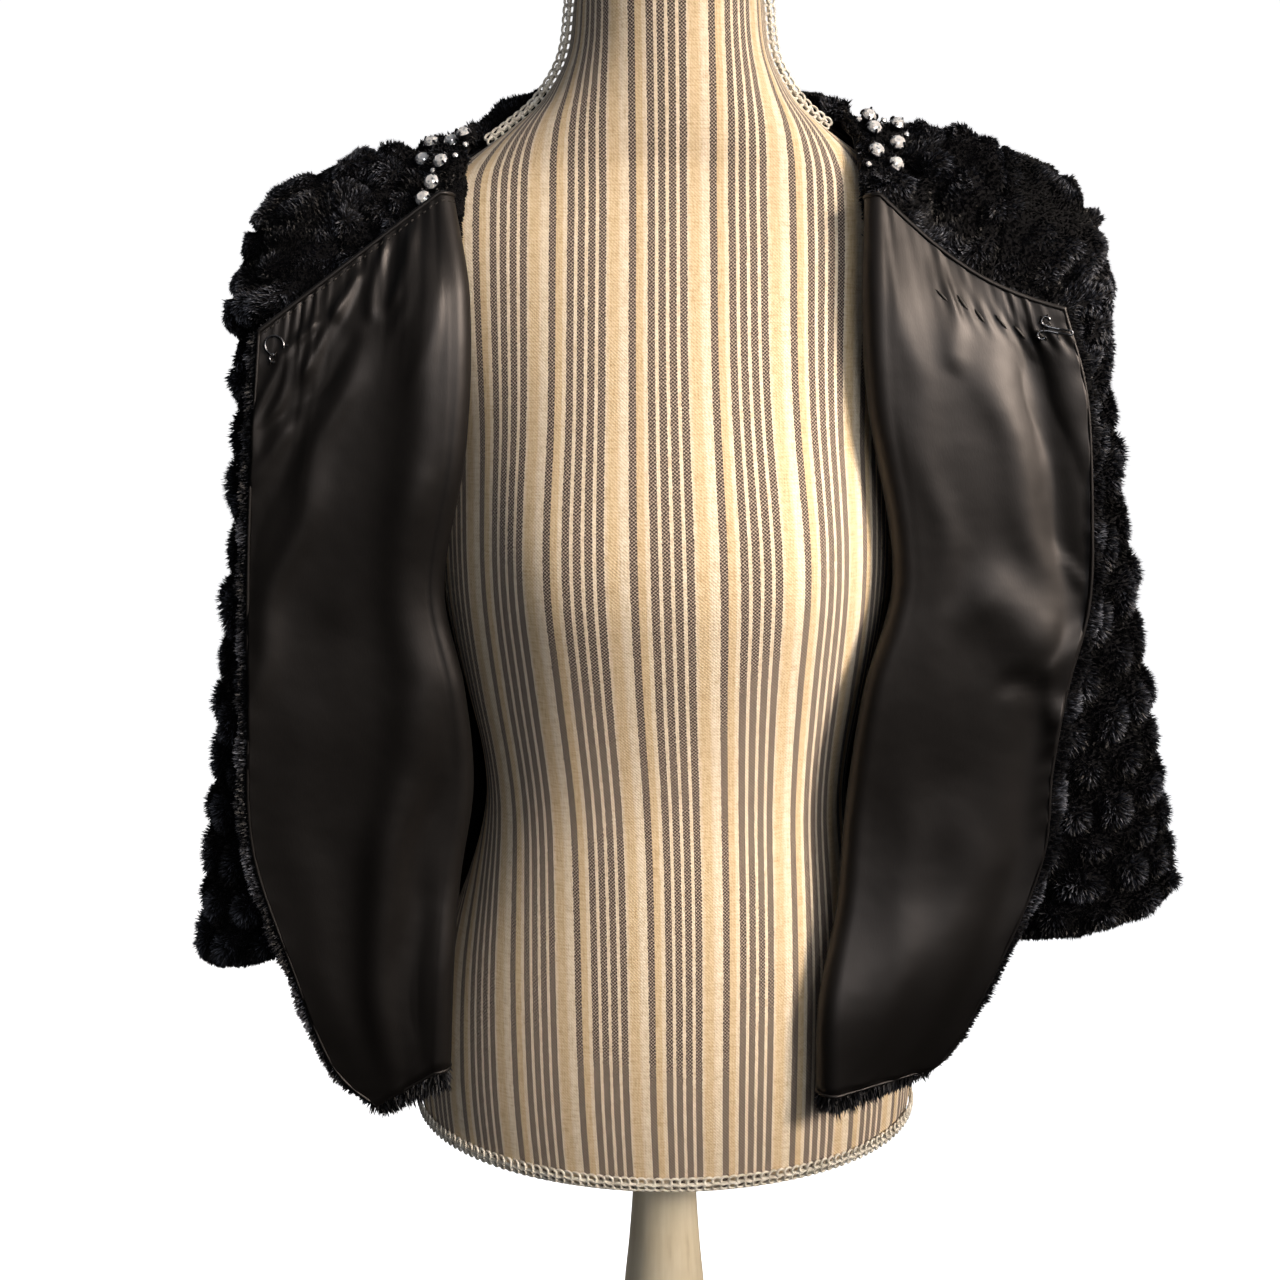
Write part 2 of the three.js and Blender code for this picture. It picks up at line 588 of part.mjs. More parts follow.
// Doubled wire bent over at its end, with two sewing rings, lying on the left front's lining
function hook() {
  const to = cornerFrame(SIDES.left, 0.93, 0.045);
  const lift = (x) => (x < 5 ? 0 : 3.2 * Math.sin((Math.min(1, (x - 5) / 4) * Math.PI) / 2));
  const leg = (y, dir) => spread(3, -2.5, 9).map((x) => [dir > 0 ? x : 6.5 - x, y]);
  const flat = [
    ...arc(-4.6, -3.9, 2.3, 350, 80, 7),
    ...leg(-1.1, 1),
    ...arc(9.6, 0, 1.1, -80, 80, 4),
    ...leg(1.1, -1),
    ...arc(-4.6, 3.9, 2.3, -80, -350, 7),
  ];
  return wire(flat.map(([x, y]) => to(x, y, WIRE_UP + lift(x))), WIRE);
}

// Place on the shoulder part of a front that is nearest to a point
function nearest(face, point) {
  let best = [Infinity];
  spread(40, 0.08, 0.36).forEach((u) =>
    spread(40, 0.01, 0.2).forEach((v) => {
      const far = new THREE.Vector3(...face(u, v)).distanceTo(point);
      if (far < best[0]) best = [far, u, v];
    }),
  );
  return best.slice(1);
}

// Claw-set stones, raised in a thin backing that follows the flat fur beside the neck
function jewelTrim(side, spots, lift) {
  const face = mirrored(side, frontFace);
  const [u0, v0] = side.trim;
  const [du, dv] = [0.046, 0.036];
  const [lowV, highV] = [Math.max(0.004, v0 - dv), v0 + dv];
  const us = spread(18, u0 - du, u0 + du);
  const vs = spread(21, lowV, highV);
  const [inU, inV] = [spread(6, u0 - du, u0 + du), spread(7, lowV, highV)];
  const middle = new THREE.Vector3(...face(u0, v0));
  const across = new THREE.Vector3(...face(u0 + 0.01, v0)).sub(new THREE.Vector3(...face(u0 - 0.01, v0)));
  const down = new THREE.Vector3(...face(u0, v0 + 0.01)).sub(new THREE.Vector3(...face(u0, v0 - 0.01)));
  const normal = new THREE.Vector3().crossVectors(across, down).normalize().multiplyScalar(side.sign);
  const right = new THREE.Vector3(1, 0, 0).addScaledVector(normal, -normal.x).normalize();
  const under = new THREE.Vector3().crossVectors(right, normal).normalize();
  if (under.z > 0) under.negate();
  const stone = (u, v) => {
    const p = new THREE.Vector3(...face(u, v)).sub(middle);
    const heights = spots.map(([x, y, d]) => {
      const r = Math.hypot(p.dot(right) - x * 0.6, p.dot(under) - y * 0.6) / d;
      return r > 0.55 ? 0 : d * (0.4 - 0.28 * clamp((r - 0.26) / 0.24));
    });
    return Math.max(...heights);
  };
  const raised = (u, v, height) => new THREE.Vector3(...face(u, v)).addScaledVector(normal, height);
  const low = inV.map((v) => inU.map((u) => raised(u, v, lift)));
  const high = vs.map((v) => us.map((u) => raised(u, v, lift + 1.2 + stone(u, v))));
  return between(high, low, us, vs, inU, inV);
}

const LOOKS = {
  fur: { color: 0x0d0d10, roughness: 0.95 },
  satin: { color: 0x14110f, roughness: 0.35 },
  ticking: { color: 0xd8c9a8, roughness: 0.9 },
  braid: { color: 0xe9e4d6, roughness: 0.85 },
  paint: { color: 0xe8dfc8, roughness: 0.5 },
  metal: { color: 0x55585c, roughness: 0.3, metalness: 1 },
  crystal: { color: 0xdfe6ea, roughness: 0.05, metalness: 0.2 },
};

const root = new THREE.Group();
root.name = "shrug_on_form";
const put = (name, geometry, look) => {
  const mesh = new THREE.Mesh(geometry, new THREE.MeshStandardMaterial(LOOKS[look]));
  mesh.name = name;
  mesh.position.z = FORM_Z;
  root.add(mesh);
};

Object.entries(SIDES).forEach(([name, side]) => {
  side.trim = nearest(mirrored(side, frontFace), new THREE.Vector3(...TRIM[name]));
});
put("back", back(), "fur");
put("back_lining", backLining(), "satin");
Object.entries(SIDES).forEach(([name, side]) => {
  put(name + "_front", front(side), "fur");
  put(name + "_front_lining", frontLining(side), "satin");
  put(name + "_sleeve", sleeve(side), "fur");
  put(name + "_jewel_trim", jewelTrim(side, STONES[name], TRIM_LIFT[name]), "crystal");
  put(name + "_neck_gimp", neckGimp(side), "braid");
});
put("eye", eye(), "metal");
put("hook", hook(), "metal");
put("torso", torso(), "ticking");
put("base_gimp", baseGimp(), "braid");
put("pole", lathe(POLE, 18), "paint");
put("foot", lathe(FOOT, 24), "paint");

export default root;
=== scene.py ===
import math

import bpy
import numpy as np
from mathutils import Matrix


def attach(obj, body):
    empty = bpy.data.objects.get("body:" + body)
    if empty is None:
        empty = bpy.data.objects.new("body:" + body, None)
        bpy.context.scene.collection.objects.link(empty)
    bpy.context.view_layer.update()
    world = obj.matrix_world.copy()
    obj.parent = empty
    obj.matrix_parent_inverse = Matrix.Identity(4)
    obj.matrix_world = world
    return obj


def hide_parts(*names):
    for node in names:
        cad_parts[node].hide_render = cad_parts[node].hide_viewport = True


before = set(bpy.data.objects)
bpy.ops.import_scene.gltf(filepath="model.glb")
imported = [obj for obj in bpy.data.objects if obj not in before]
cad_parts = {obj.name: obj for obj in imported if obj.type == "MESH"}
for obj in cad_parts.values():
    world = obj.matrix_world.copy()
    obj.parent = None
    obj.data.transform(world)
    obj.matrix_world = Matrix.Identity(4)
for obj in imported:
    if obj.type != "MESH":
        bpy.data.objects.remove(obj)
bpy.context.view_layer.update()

bl_info = {
    "name": "Faux-fur shrug on a dress form",
    "version": (1, 0, 0),
    "blender": (4, 5, 0),
    "location": "3D View > Sidebar > Shrug",
    "description": "Dresses the packed frame in puffed faux fur, satin, crystals, ticking, braid and paint",
    "category": "Add Mesh",
}

# Main sizes in millimetres, the same as the solids have
FORM_Z = 330.0
GAP = 0.35
BACKING = 3.4
PILE = 9.0
LINING = 1.3
LINING_INSET = 11.0
ARM_B = 52.0
ARM_V = 0.32
UNDERARM = (165.0, 430.0)
SEAM_ROOM = 4.5
ROOM = 9.6
ROLL_FROM = 0.42
ROLL_TO = 0.5
INSET_U = LINING_INSET / 125 / 2
INSET_V = LINING_INSET / 540
SLEEVE_ROUND = 26

# Form: height, half width, depth in front, depth behind
FORM = np.array([
    [0, 160, 108, 104], [6, 164, 112, 108], [40, 165, 113, 110], [80, 158, 111, 110],
    [120, 147, 105, 106], [165, 130, 96, 96], [200, 120, 90, 89], [225, 117, 88, 86],
    [255, 120, 91, 87], [290, 128, 99, 90], [325, 136, 110, 95], [355, 141, 119, 99],
    [385, 143, 121, 103], [415, 143, 116, 106], [450, 145, 106, 108], [485, 154, 96, 108],
    [520, 166, 84, 100], [550, 177, 72, 90], [572, 178, 61, 79], [586, 167, 56, 71],
    [597, 147, 54, 66], [606, 129, 55, 63], [617, 112, 57, 63], [629, 97, 59, 64],
    [645, 80, 60, 64], [668, 66, 60, 62], [700, 61, 59, 61], [716, 59, 57, 59],
    [722, 50, 49, 50],
], float)

# Side tables, x outward from the middle; heights are over the form's lower edge.
# roll: centre of the turned-back roll, edge: free front edge, from the top (v 0) to the hem (v 1)
SIDES = {
    "right": {
        "sign": -1,
        "tip": (196, 0, 601),
        "neck": (112, -2, 623),
        "sag": 0,
        "roll": [
            [0, 129, -63, 583, 6], [0.11, 121, -78, 524, 8], [0.28, 125, -80, 441, 8],
            [0.42, 141, -69, 362, 8], [0.54, 131, -65, 300, 8], [0.66, 128, -58, 240, 8],
            [0.8, 137, -61, 180, 8], [0.9, 141, -71, 125, 8], [1, 144, -77, 54, 8],
        ],
        "edge": [
            [0, 232, -84, 504], [0.28, 243, -84, 402], [0.5, 249, -84, 298], [0.68, 252, -84, 207],
            [0.8, 230, -84, 128], [0.9, 207, -84, 66], [1, 176, -83, 38],
        ],
        "bulge": [[0, 0], [0.3, 2], [0.42, 5], [0.66, 4], [0.85, 8], [1, 10]],
        "fold": {"top": (0.1, 0.52), "low": (0.62, 1.0), "high": 7, "wide": 0.13},
        "sleeve": [
            [0, 196, 601, 165, 430, 52, 0], [0.06, 222, 590, 171, 421, 54, 1],
            [0.12, 240, 568, 176, 409, 54, 2], [0.18, 250, 540, 180, 394, 53, 3],
            [0.26, 254, 500, 184, 371, 52, 5], [0.42, 263, 410, 186, 320, 50, 8],
            [0.56, 274, 330, 187, 270, 48, 10], [0.72, 286, 243, 188, 216, 48, 12],
            [0.9, 299, 150, 190, 164, 50, 14], [1, 305, 103, 192, 138, 52, 14],
        ],
    },
    "left": {
        "sign": 1,
        "tip": (196, 0, 611),
        "neck": (99, -2, 636),
        "sag": 11,
        "roll": [
            [0, 116, -64, 582, 6], [0.11, 116, -78, 524, 8], [0.24, 120, -80, 469, 8],
            [0.42, 139, -74, 368, 8], [0.54, 124, -74, 300, 8], [0.66, 116, -70, 228, 8],
            [0.78, 111, -79, 171, 8], [0.9, 98, -101, 115, 8], [1, 97, -108, 58, 8],
        ],
        "edge": [
            [0, 221, -84, 518], [0.15, 237, -84, 469], [0.28, 244, -84, 402], [0.42, 245, -84, 351],
            [0.54, 236, -84, 304], [0.66, 230, -84, 256], [0.78, 227, -85, 204], [0.88, 206, -87, 147],
            [0.95, 176, -89, 86], [1, 156, -91, 68],
        ],
        "bulge": [[0, 0], [0.3, 2], [0.42, 5], [0.66, 4], [0.85, 18], [1, 26]],
        "fold": {"top": (0.72, 0.12), "low": (0.86, 0.46), "high": -6, "wide": 0.12},
        "sleeve": [
            [0, 196, 611, 165, 430, 52, 0], [0.06, 224, 602, 172, 423, 54, 1],
            [0.12, 243, 582, 178, 411, 54, 2], [0.18, 253, 552, 183, 397, 53, 3],
            [0.26, 258, 515, 187, 375, 52, 5], [0.42, 273, 430, 192, 325, 50, 8],
            [0.56, 291, 345, 197, 276, 48, 10], [0.72, 309, 257, 203, 222, 48, 12],
            [0.9, 325, 185, 208, 160, 50, 14], [1, 331, 154, 210, 122, 52, 14],
        ],
    },
}

# Side seam below the underarm, and the middle of the back, from the top (v 0) to the hem (v 1)
SEAM = [
    [0.32, 160.5, 0, 430], [0.4, 157, 8, 392], [0.55, 152, 10, 305], [0.68, 149, 10, 235],
    [0.8, 155, 10, 165], [0.9, 164, 10, 105], [1, 172, 10, 45],
]
MIDDLE = [
    [0, 0, 78, 668], [0.06, 0, 87, 632], [0.14, 0, 110, 575], [0.24, 0, 123, 510], [0.32, 0, 125, 462],
    [0.55, 0, 124, 320], [0.8, 0, 125, 165], [1, 0, 128, 42],
]

# Crystal stones: across and down from the middle of each cluster, and diameter
STONES = {
    "right": [
        [-5, -8, 9], [13, -13, 9], [7, -6, 9], [-10, 5, 9], [2, 6, 9], [-4, 18, 9], [-9, 29, 9],
        [16, -4, 3.5], [-3, 12, 3.5], [10, 2, 3.5],
    ],
    "left": [
        [-9, -16, 9], [-6, -7, 9], [8, -8, 9], [8, 3, 9], [-5, 7, 9], [7, 15, 9],
        [-14, -12, 3.5], [0, -12, 3.5], [-13, 1, 3.5], [14, -3, 3.5], [-9, 15, 3.5],
    ],
}
# Middle of each cluster in the photograph's pixels, and pixels for each millimetre across it
TRIM_PIXEL = {"right": (440, 153), "left": (883, 140)}
TRIM_SCALE = 1.65

# Hook and eye: wire radius, height over the lining, and place along the front's and the neck's edge
WIRE = 0.65
WIRE_UP = 2.65
FASTENER_PLACE = (0.93, 0.045)

# How far the neck braids sit forward of the sides, the hairs' disorder, and the seeds of the hairs
GIMP_Y = 9.0
HAIR_SPREAD = 0.4
SLEEVE_SEEDS = {"right": 33, "left": 43}
FRONT_SEEDS = {"right": 13, "left": 23}

# Camera: distance ahead of the form's axis, height over its lower edge, place across and tilt down
CAMERA_AHEAD = 810
CAMERA_UP = 460
CAMERA_SIDE = -17
CAMERA_TILT = math.radians(9.9)
PHOTO = 1280

# Ticking: height over the form's edge, width of one repeat, place of the wide cream band by the middle
STRIPES = [
    [0, 41.5, -14.5], [60, 43, -17], [165, 45, -19], [225, 45.8, -21], [300, 48, -26],
    [375, 49.2, -29.5], [485, 45.5, -29.7], [600, 45.5, -29.7], [722, 46, -32],
]


def linear(code):
    """An sRGB hex colour as the linear values that a shader takes"""
    parts = [int(code[i:i + 2], 16) / 255 for i in (1, 3, 5)]
    return [c / 12.92 if c <= 0.04045 else ((c + 0.055) / 1.055) ** 2.4 for c in parts] + [1.0]


def unit(v):
    """Vectors at length one"""
    return v / np.maximum(np.linalg.norm(v, axis=-1, keepdims=True), 1e-9)


def ease(x):
    """Smooth step from 0 to 1"""
    x = np.clip(x, 0, 1)
    return x * x * (3 - 2 * x)


def mix(a, b, w):
    """Straight blend; w may be an array with one value for each point"""
    a, b = np.asarray(a, float), np.asarray(b, float)
    return a + (b - a) * np.asarray(w, float)[..., None]


def along(rows, t):
    """Smooth curve through rows whose first number is the place along it"""
    rows = np.asarray(rows, float)
    place, value = rows[:, 0], rows[:, 1:]
    slope = np.empty_like(value)
    slope[1:-1] = (value[2:] - value[:-2]) / (place[2:] - place[:-2])[:, None]
    slope[0] = (value[1] - value[0]) / (place[1] - place[0])
    slope[-1] = (value[-1] - value[-2]) / (place[-1] - place[-2])
    t = np.asarray(t, float)
    i = np.searchsorted(place[1:-1], t, side="left")
    h = (place[i + 1] - place[i])[..., None]
    s = np.clip((t - place[i])[..., None] / h, 0, 1)
    return (
        (2 * s**3 - 3 * s**2 + 1) * value[i]
        + (s**3 - 2 * s**2 + s) * h * slope[i]
        + (3 * s**2 - 2 * s**3) * value[i + 1]
        + (s**3 - s**2) * h * slope[i + 1]
    )


def form_row(z):
    """Half width and depths of the shown form; its neck is a little slimmer than the solid"""
    return along(FORM, z) - np.multiply.outer(ease((np.asarray(z) - 610) / 30), [5.0, 2.0, 2.0])


def metres(points):
    """Millimetres over the form's lower edge to metres in the frame"""
    return (np.asarray(points, float) + [0, 0, FORM_Z]) / 1000


def reach(p):
    """Share of the way from the form's axis to its surface, grown by the room that the cloth needs"""
    x, y, z = p[..., 0], p[..., 1], p[..., 2]
    a = np.interp(z, FORM[:, 0], FORM[:, 1]) + ROOM
    b = np.where(y < 0, np.interp(z, FORM[:, 0], FORM[:, 2]), np.interp(z, FORM[:, 0], FORM[:, 3])) + ROOM
    return np.hypot(x / a, y / b)


def over_form(p):
    """The same points, moved straight out of the form where they would sink into it"""
    p = p.copy()
    for _ in range(4):
        near = reach(p)
        g = np.stack([reach(p + step) - near for step in np.eye(3)], -1)
        k = np.where(near < 1, (1 - near) / np.maximum((g**2).sum(-1), 1e-12), 0)
        p += g * k[..., None]
    return p


def side_edge(side, v, way):
    """Edge of a body panel: half of the armhole, then the side seam; way is -1 in front, 1 behind"""
    tx, _, tz = side["tip"]
    seam = along(SEAM, np.maximum(v, ARM_V)) + [0, way * GAP, 0]
    angle = np.pi * np.minimum(v, ARM_V) / ARM_V
    c = np.cos(angle)
    arm = np.stack([
        (tx + UNDERARM[0]) / 2 + (tx - UNDERARM[0]) / 2 * c - SEAM_ROOM * (1 - c) / 2,
        way * (GAP + ARM_B * np.sin(angle)),
        (tz + UNDERARM[1]) / 2 + (tz - UNDERARM[1]) / 2 * c,
    ], -1)
    return np.where((v >= ARM_V)[..., None], seam, arm)


def front_face(side, u, v):
    """Face between fur and lining of a front; u runs from the side over the roll to the free edge"""
    roll = along(side["roll"], v)
    cx, cy, cz, r = roll[..., 0], roll[..., 1], roll[..., 2], roll[..., 3]
    edge = along(side["edge"], v)
    start = side_edge(side, v, -1)
    to_start = np.arctan2(start[..., 1] - cy, start[..., 0] - cx) + np.pi / 2
    to_edge = np.arctan2(edge[..., 1] - cy, edge[..., 0] - cx) + 3 * np.pi / 2

    def on_roll(angle):
        return np.stack([cx + r * np.cos(angle), cy + r * np.sin(angle), cz], -1)

    # Flap, past the roll
    w = np.clip((u - ROLL_TO) / (1 - ROLL_TO), 0, 1)
    flap = mix(on_roll(to_edge), edge, w)
    fold = side["fold"]
    k = np.clip((v - fold["top"][1]) / (fold["low"][1] - fold["top"][1]), 0, 1)
    at = fold["top"][0] + (fold["low"][0] - fold["top"][0]) * k
    arch = np.sin(np.pi * w)
    fade = ease(v / 0.12) * ease((1.02 - v) / 0.3) * np.sqrt(np.maximum(arch, 0))
    flap[..., 1] -= fold["high"] * fade * np.exp(-(((w - at) / fold["wide"]) ** 2))
    flap[..., 2] -= side["sag"] * arch * (1 - ease(v / 0.3))

    # Roll
    turned = on_roll(to_start + (to_edge - to_start) * np.clip((u - ROLL_FROM) / (ROLL_TO - ROLL_FROM), 0, 1))

    # Part that lies on the form and the shoulder
    w = np.clip(u / ROLL_FROM, 0, 1)
    end = on_roll(to_start)
    base = mix(start, end, w)
    d = start[..., :2] - end[..., :2]
    long = np.hypot(d[..., 0], d[..., 1])
    bulge = along(side["bulge"], v)[..., 0] * np.sin(np.pi * w)
    base[..., 0] += bulge * d[..., 1] / long
    base[..., 1] -= bulge * d[..., 0] / long
    zero = np.zeros(1)
    first = along(side["roll"], zero)[0]
    corner = side_edge(side, zero, -1)[0]
    angle = math.atan2(corner[1] - first[1], corner[0] - first[0]) + math.pi / 2
    roll_top = np.array(
        [first[0] + first[3] * math.cos(angle), first[1] + first[3] * math.sin(angle), first[2]]
    )
    near = mix(side["tip"], side["neck"], w / 0.6)
    top = np.where((w < 0.6)[..., None], near, mix(side["neck"], roll_top, (w - 0.6) / 0.4))
    top = top - [0, GAP, 0]
    plain = mix(corner, roll_top, w)
    k = (1 - ease(v / 0.22)) * ease(np.minimum(w, 1 - w) * 8)
    base = over_form(base + (top - plain) * k[..., None])
    out = np.where((u > ROLL_TO)[..., None], flap, np.where((u >= ROLL_FROM)[..., None], turned, base))
    return out * [side["sign"], 1, 1]


def back_face(side, u, v):
    """Face between fur and lining of the back on one side; u runs from the middle (0) to the side (1)"""
    nx, _, nz = side["neck"]
    tx, _, tz = side["tip"]
    top_rows = [
        [0, 0, 78, 668], [0.18, 45, 72, 668], [0.34, 83, 50, 662], [0.48, nx - 5, 24, nz + 17],
        [0.62, nx, GAP, nz], [0.81, (nx + tx) / 2, GAP, (nz + tz) / 2], [1, tx, GAP, tz],
    ]
    edge = side_edge(side, v, 1)
    middle = along(MIDDLE, v)
    s = np.sin(u * np.pi / 2)
    c = np.maximum(np.cos(u * np.pi / 2), 0) ** 1.7
    p = np.stack([
        edge[..., 0] * s,
        edge[..., 1] + (middle[..., 1] - edge[..., 1]) * c,
        edge[..., 2] + (middle[..., 2] - edge[..., 2]) * c,
    ], -1)
    edge0 = side_edge(side, np.zeros(1), 1)[0]
    plain = np.stack([edge0[0] * s, edge0[1] + (78 - edge0[1]) * c, edge0[2] + (668 - edge0[2]) * c], -1)
    lift = np.maximum(1 - ease(v / 0.26), 0) ** 1.5
    return over_form(p + (along(top_rows, u) - plain) * lift[..., None]) * [side["sign"], 1, 1]


def whole_back(u, v):
    """Face of the back; u runs from -1 at the wearer's right to 1"""
    right, left = (back_face(SIDES[name], np.abs(u), v) for name in ("right", "left"))
    return np.where((u < 0)[..., None], right, left)


def sleeve_face(side, u, v):
    """Sleeve's inner face; u goes round from the shoulder line over the front"""
    r = along(side["sleeve"], v)
    c, s = np.cos(2 * np.pi * u), np.sin(2 * np.pi * u)
    x = (r[..., 0] + r[..., 2]) / 2 + (r[..., 0] - r[..., 2]) / 2 * c
    x = x + (2 * GAP + SEAM_ROOM * (1 - c) / 2) * (1 - v) ** 3
    z = (r[..., 1] + r[..., 3]) / 2 + (r[..., 1] - r[..., 3]) / 2 * c
    return np.stack([x, r[..., 5] - r[..., 4] * s, z], -1) * [side["sign"], 1, 1]


def face_grid(face, us, vs, flip=1, loop=False):
    """Points of a face and its unit normals, rows along v and columns along u"""
    u, v = np.meshgrid(us, vs)
    step = 1e-3
    u0 = u - step if loop else np.maximum(u - step, us[0])
    u1 = u + step if loop else np.minimum(u + step, us[-1])
    v0, v1 = np.maximum(v - step, 0), np.minimum(v + step, 1)
    n = np.cross(face(u1, v) - face(u0, v), face(u, v1) - face(u, v0))
    return face(u, v), unit(n) * flip, u, v


def waves(u, v, seed, count=7, low=2, high=9):
    """Low uneven swell from a few seeded waves, about -1 to 1"""
    rng = np.random.default_rng(seed)
    total = 0
    for _ in range(count):
        fu, fv = rng.uniform(low, high, 2) * rng.choice([-1, 1], 2)
        total = total + np.sin(2 * np.pi * (fu * u * 0.5 + fv * v * 0.5) + rng.uniform(0, 6.3))
    return total / count**0.5 / 1.5


def puffs(i, j, seed):
    """Puffed pile: 0 in a groove to 1 on top; i and j count half puffs, every other row is shifted"""
    i = i + 0.28 * waves(i / 20, j / 20, seed, 6, 3, 9)
    j = j + 0.22 * waves(i / 20, j / 20, seed + 1, 6, 3, 9)
    row = np.floor(j / 2)
    puff = 2 * np.floor((i + row) / 2) + 1
    uneven = 0.16 * np.sin((puff - row) * 12.9898 + row * 78.233 + 3)
    up = np.sin(np.pi * (j / 2 - row)) ** 0.6
    across = 0.5 - 0.5 * np.cos(np.pi * (i + row))
    return up * (0.14 + (0.74 + uneven) * across**0.6)


def swell(p, seed, short, long, count=9):
    """Even random swell in space, about -1 to 1, with wave lengths from short to long in millimetres"""
    rng = np.random.default_rng(seed)
    total = 0
    for _ in range(count):
        k = unit(rng.normal(size=3)) * 2 * np.pi / rng.uniform(short, long)
        total = total + np.sin(p @ k + rng.uniform(0, 6.3))
    return total / count**0.5


def crumples(p):
    """Matted pile on the shoulders: crooked ridges and creases that run on across the seams; the pile's
    painted shade darkens the creases
    """
    return np.clip(np.abs(swell(p, 21, 20, 50)) * 1.5, 0, 1) ** 0.8 * (0.8 + 0.25 * swell(p, 22, 18, 40))


def wall(name, outer, inner, uv, loop=False, values=None):
    """Closed wall between two equal grids of points, with UVs in metres and values for each point"""
    rows, columns = outer.shape[:2]
    count = rows * columns
    j, i = (
        g.ravel() for g in np.meshgrid(np.arange(rows - 1), np.arange(columns - (not loop)), indexing="ij")
    )

    def corners(width, wrap):
        right = (i + 1) % columns if wrap else i + 1
        return np.stack([j * width + i, j * width + right, (j + 1) * width + right, (j + 1) * width + i], 1)

    skin, skin_uv = corners(columns, loop), corners(uv.shape[1], False)
    faces, marks = [skin, skin[:, ::-1] + count], [skin_uv, skin_uv[:, ::-1]]
    n = np.arange(columns - (not loop))
    m = (n + 1) % columns
    last, last_uv = (rows - 1) * columns, (rows - 1) * uv.shape[1]
    faces.append(np.stack([m, n, n + count, m + count], 1))
    marks.append(np.stack([n + 1, n, n, n + 1], 1))
    faces.append(np.stack([last + n, last + m, last + m + count, last + n + count], 1))
    marks.append(last_uv + np.stack([n, n + 1, n + 1, n], 1))
    if not loop:
        n = np.arange(rows - 1) * columns
        m = n + columns
        right = columns - 1
        faces.append(np.stack([m + right, n + right, n + right + count, m + right + count], 1))
        marks.append(np.stack([m + right, n + right, n + right, m + right], 1))
        faces.append(np.stack([n, m, m + count, n + count], 1))
        marks.append(np.stack([n, m, m, n], 1))
    sides = [0] * len(faces[0]) + [1] * len(faces[1]) + [0] * sum(len(f) for f in faces[2:])
    points = np.concatenate([outer.reshape(-1, 3), inner.reshape(-1, 3)])
    return mesh_object(
        name, points, np.concatenate(faces), uv.reshape(-1, 2)[np.concatenate(marks)], sides, values
    )


def mesh_object(name, points, quads, uv=None, sides=None, values=None, smooth=True):
    """A mesh object from points in millimetres and faces of equal count, turned to face outwards"""
    points = metres(points)
    middle = points - points.mean(0)
    a, b, c = (middle[quads[:, k]] for k in (0, 1, 2))
    volume = (a * np.cross(b, c)).sum()
    if quads.shape[1] == 4:
        d = middle[quads[:, 3]]
        volume += (a * np.cross(c, d)).sum()
    if volume < 0:
        quads = quads[:, ::-1]
        uv = None if uv is None else uv[:, ::-1]
    mesh = bpy.data.meshes.new(name)
    mesh.from_pydata(points.tolist(), [], quads.tolist())
    if uv is not None:
        mesh.uv_layers.new(name="cloth").data.foreach_set("uv", np.ascontiguousarray(uv, float).ravel())
    if sides is not None:
        mesh.polygons.foreach_set("material_index", np.asarray(sides, np.int32))
    for key, value in (values or {}).items():
        value = np.asarray(value, float)
        kind = "FLOAT_VECTOR" if value.ndim == 2 else "FLOAT"
        field = "vector" if value.ndim == 2 else "value"
        mesh.attributes.new(key, kind, "POINT").data.foreach_set(field, value.ravel())
    mesh.polygons.foreach_set("use_smooth", [smooth] * len(mesh.polygons))
    mesh.update()
    made = bpy.data.objects.new(name, mesh)
    bpy.context.scene.collection.objects.link(made)
    return made


def dress(piece, slot, replaces, *materials):
    """Materials, body and the nodes that a piece stands for; its slot is not used"""
    for material in materials:
        piece.data.materials.append(material)
    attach(piece, "root")
    if replaces:
        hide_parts(*replaces)
    return piece


def join(name, pieces):
    """One object from several, in the order given"""
    with bpy.context.temp_override(active_object=pieces[0], selected_editable_objects=pieces):
        bpy.ops.object.join()
    pieces[0].name = pieces[0].data.name = name
    return pieces[0]


def node(tree, kind, settings=None, links=None):
    """Adds a node, sets its properties, and sets or links its inputs by name or number"""
    made = tree.nodes.new(kind)
    for key, value in (settings or {}).items():
        setattr(made, key, value)
    for key, value in (links or {}).items():
        socket = made.inputs[key]
        if isinstance(value, bpy.types.NodeSocket):
            tree.links.new(value, socket)
        else:
            socket.default_value = value
    return made


def new_material(name):
    """An empty material with its Principled shader"""
    material = bpy.data.materials.new(name)
    material.use_nodes = True
    tree = material.node_tree
    tree.nodes.clear()
    shader = node(tree, "ShaderNodeBsdfPrincipled")
    node(tree, "ShaderNodeOutputMaterial", links={"Surface": shader.outputs["BSDF"]})
    return material, tree, shader


def set_inputs(tree, shader, values):
    """Sets or links inputs of a shader that is already there"""
    for key, value in values.items():
        if isinstance(value, bpy.types.NodeSocket):
            tree.links.new(value, shader.inputs[key])
        else:
            shader.inputs[key].default_value = value


def ramp(tree, factor, stops, mode="LINEAR"):
    """Colour ramp from a list of places and hex colours"""
    made = node(tree, "ShaderNodeValToRGB", links={"Fac": factor})
    band = made.color_ramp
    band.interpolation = mode
    while len(band.elements) < len(stops):
        band.elements.new(0.5)
    for element, (place, code) in zip(band.elements, stops):
        element.position = place
        element.color = linear(code)
    return made.outputs["Color"]


def math_node(tree, operation, a, b=0.0, c=0.0):
    """One sum; a, b and c are numbers or sockets"""
    return node(tree, "ShaderNodeMath", {"operation": operation}, {0: a, 1: b, 2: c}).outputs[0]


